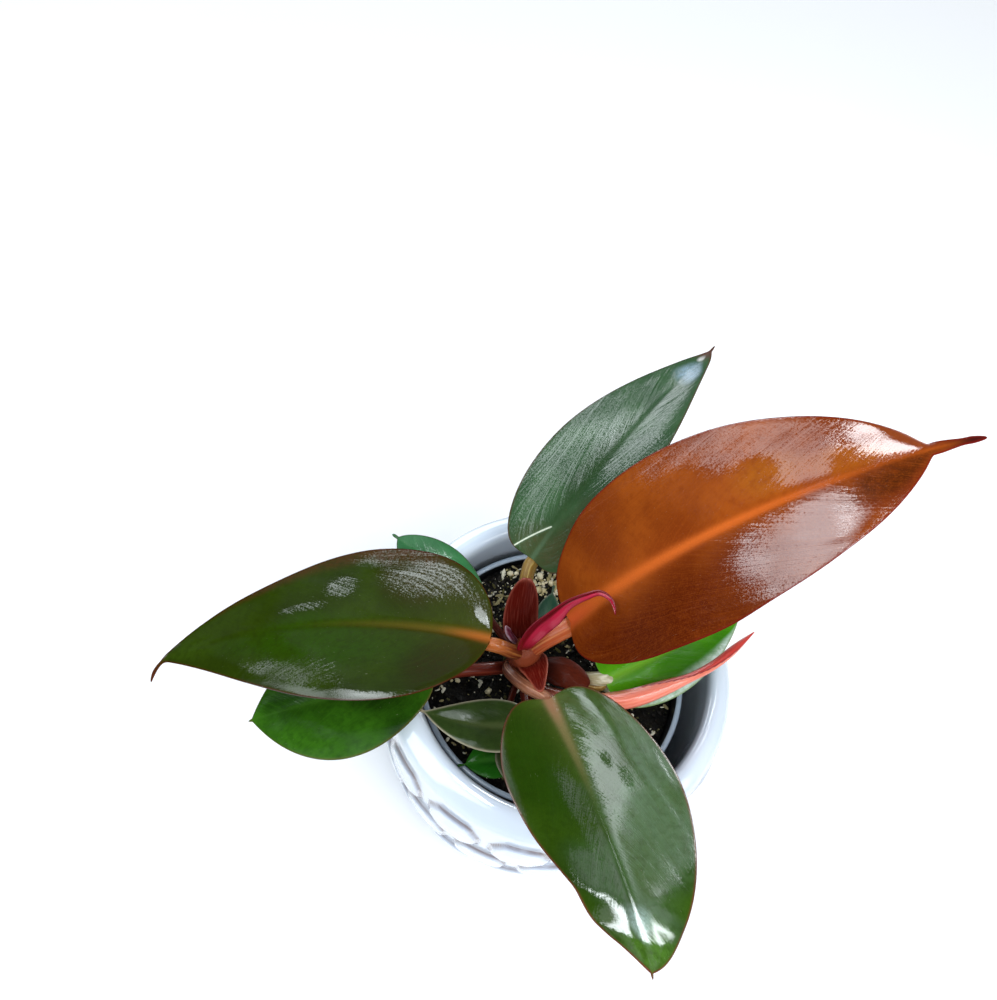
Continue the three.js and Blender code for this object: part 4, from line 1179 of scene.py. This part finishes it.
def papery_remains():
    """The torn, dry sheath that still clings to the stalk of the low right leaf."""
    rows, columns = 30, 36
    path = catmull([(6.5, -5, 109.3), (13, -4.6, 110.2), (19.5, -3.2, 108.4), (24.5, -2.2, 104.5)], rows)
    along = unit(np.gradient(path, axis=0))
    up = unit(np.cross(along, np.cross([0, 0, 1.0], along)))
    side = np.cross(along, up)
    x = np.linspace(0, 1, rows + 1)
    t, a = np.meshgrid(x, np.linspace(-2.2, 2, columns + 1), indexing="ij")
    crumple = noise(xyz(t * 6, a * 2.2, 0), 31) + 0.5 * noise(xyz(t * 15, a * 5, 0), 32)
    radius = 2.5 + 2.4 * t ** 1.5 + 0.5 * crumple * t
    t = t * (1 - 0.35 * np.abs(noise(xyz(a * 1.6, 0, 0), 33))[-1])
    centre = sampled(t, x, path)
    out = up[:, None] * np.cos(a)[..., None] + side[:, None] * np.sin(a)[..., None]
    outer, inner = (centre + out * (radius - inset)[..., None] for inset in (0, PAPER))
    grid = np.arange(t.size).reshape(t.shape)
    quads = np.stack([grid[:-1, :-1], grid[1:, :-1], grid[1:, 1:], grid[:-1, 1:]], -1).reshape(-1, 4)
    faces = quads.tolist() + (quads[:, ::-1] + t.size).tolist()
    rim = np.concatenate([grid[0, :], grid[1:, -1], grid[-1, -2::-1], grid[-2:0:-1, 0]])
    faces += [[i, k, k + t.size, i + t.size] for i, k in zip(rim.tolist(), np.roll(rim, -1).tolist())]
    where = xyz(t, a, crumple)
    g = Graph("papery_skin", 0.45, Coat_Weight=0.2, Coat_Roughness=0.2)
    at, _, fold = g.parts(g.attribute("leaf"))
    fibre = g.noise(g.attribute("leaf"), (1.5, 9, 0), 3, 0.6)
    skin = g.finish(
        "80764a", ("c4c09c", fibre, 0.35, 0.65), ("e0dec8", fold, 0, 0.9, 0, 0.7), ("685c34", at, 0.5, 0.1),
        Normal=g.bump(fibre, 0.0004, 0.6),
    )
    return solid("papery_remains", np.stack([outer, inner]), faces, skin, leaf=np.stack([where, where]))


place(soil(), "potting_soil", "soil")
place(perlite(), "potting_soil")
place(litter(), "potting_soil")
place(papery_remains(), "red_sheath")


# Floor, light and camera

COOL, WARM = (0.9, 0.96, 1), (1, 0.99, 0.97)
PITCH, ROLL = 61.5, 11.1
FOCAL_PIXELS, FRAME_PIXELS = 1036, 1000
EYE = (-0.0343, -0.1348, 0.4713)


def floor():
    size = 6
    mesh = bpy.data.meshes.new("floor")
    mesh.from_pydata([(-size, -size, 0), (size, -size, 0), (size, size, 0), (-size, size, 0)], [], [(0, 1, 2, 3)])
    g = Graph("floor", 0.6)
    mesh.materials.append(g.finish(g.mix(g.noise(g.place(), 3), "f6f7f9", "f2f3f6")))
    ground = bpy.data.objects.new("floor", mesh)
    ground.location.z = -0.0003
    bpy.context.scene.collection.objects.link(ground)


def panel(name, target, azimuth, elevation, distance, turn, width, height, strength, use="gloss", colour=COOL):
    """A soft panel that faces a point of the plant. Azimuth 0 is behind it as the photograph sees it, 90 to
    its right. turn spins the panel on its own axis, strength is the brightness of its surface, and use says
    whether it lights the plant, shows in its gloss, or both."""
    light = bpy.data.lights.new(name, "AREA")
    light.shape = "RECTANGLE"
    light.size, light.size_y = width * MM, height * MM
    light.energy = 4 * strength * light.size * light.size_y
    light.color = colour
    a, e = math.radians(azimuth), math.radians(elevation)
    away = Vector((math.sin(a) * math.cos(e), math.cos(a) * math.cos(e), math.sin(e)))
    across = Vector((0, 0, 1)).cross(away).normalized()
    face = Matrix([(across[k], away.cross(across)[k], away[k]) for k in range(3)]).to_4x4()
    lamp = bpy.data.objects.new(name, light)
    centre = (Vector(target) + away * distance) * MM
    lamp.matrix_world = Matrix.Translation(centre) @ face @ Matrix.Rotation(math.radians(turn), 4, "Z")
    lamp.visible_camera = False
    lamp.visible_diffuse = use != "gloss"
    lamp.visible_glossy = use != "light"
    bpy.context.scene.collection.objects.link(lamp)


def world():
    sky = bpy.data.worlds.new("studio")
    bpy.context.scene.world = sky
    sky.use_nodes = True
    background = sky.node_tree.nodes["Background"]
    background.inputs["Color"].default_value = (0.9, 0.95, 1.0, 1)
    background.inputs["Strength"].default_value = 0.26


def camera():
    """The photograph's view, PITCH degrees down and turned ROLL degrees on its own axis."""
    pitch, roll = math.radians(PITCH), math.radians(ROLL)
    ahead = Vector((0, math.cos(pitch), -math.sin(pitch)))
    right = Vector((1, 0, 0))
    up = right.cross(ahead)
    across = right * math.cos(roll) + up * math.sin(roll)
    above = -right * math.sin(roll) + up * math.cos(roll)
    lens = bpy.data.cameras.new("camera")
    lens.sensor_width = 36
    lens.lens = 36 * FOCAL_PIXELS / FRAME_PIXELS
    lens.clip_start, lens.clip_end = 0.01, 50
    eye = bpy.data.objects.new("camera", lens)
    facing = Matrix([(across[k], above[k], -ahead[k]) for k in range(3)]).to_4x4()
    eye.matrix_world = Matrix.Translation(Vector(EYE)) @ facing
    bpy.context.scene.collection.objects.link(eye)
    bpy.context.scene.camera = eye


PANELS = [
    ("key", (0, 0, 120), 125, 52, 1600, 0, 1200, 1200, 2.8, "both", WARM),
    ("fill", (0, 0, 120), 165, 60, 1600, 0, 1400, 1400, 2.1, "light"),
    ("left_fill", (0, 0, 100), -88, 60, 1600, 0, 1200, 1200, 2.7, "light"),
    ("sun_tip", (78, 45, 228), -148, 80, 450, 0, 210, 170, 18),
    ("sun_high", (45, 33, 220), -121, 41, 600, 85, 720, 250, 3.4),
    ("sun_low", (51, 8, 216), -65, 38, 400, 116, 400, 200, 4.4),
    ("front", (20, -54, 157), -4, 25, 450, 0, 760, 400, 0.95),
    ("front_tip", (33, -100, 180), 23, 7, 600, 0, 330, 120, 16),
    ("left_base", (-48, 11, 133), -30, 57, 300, 110, 150, 110, 2.2),
    ("left_spot", (-31, 4, 136), -21, 68, 300, 0, 26, 26, 20),
    ("far_left", (-40, 20, 140), -78, 20, 1000, 0, 330, 230, 2.6),
    ("back", (3, 72, 156), -44, 14, 330, 0, 380, 240, 4),
    ("back_high", (-5, 70, 150), -95, 50, 500, 0, 260, 140, 2.4),
]

floor()
world()
for settings in PANELS:
    panel(*settings)
camera()
bpy.context.scene.view_settings.view_transform = "Standard"
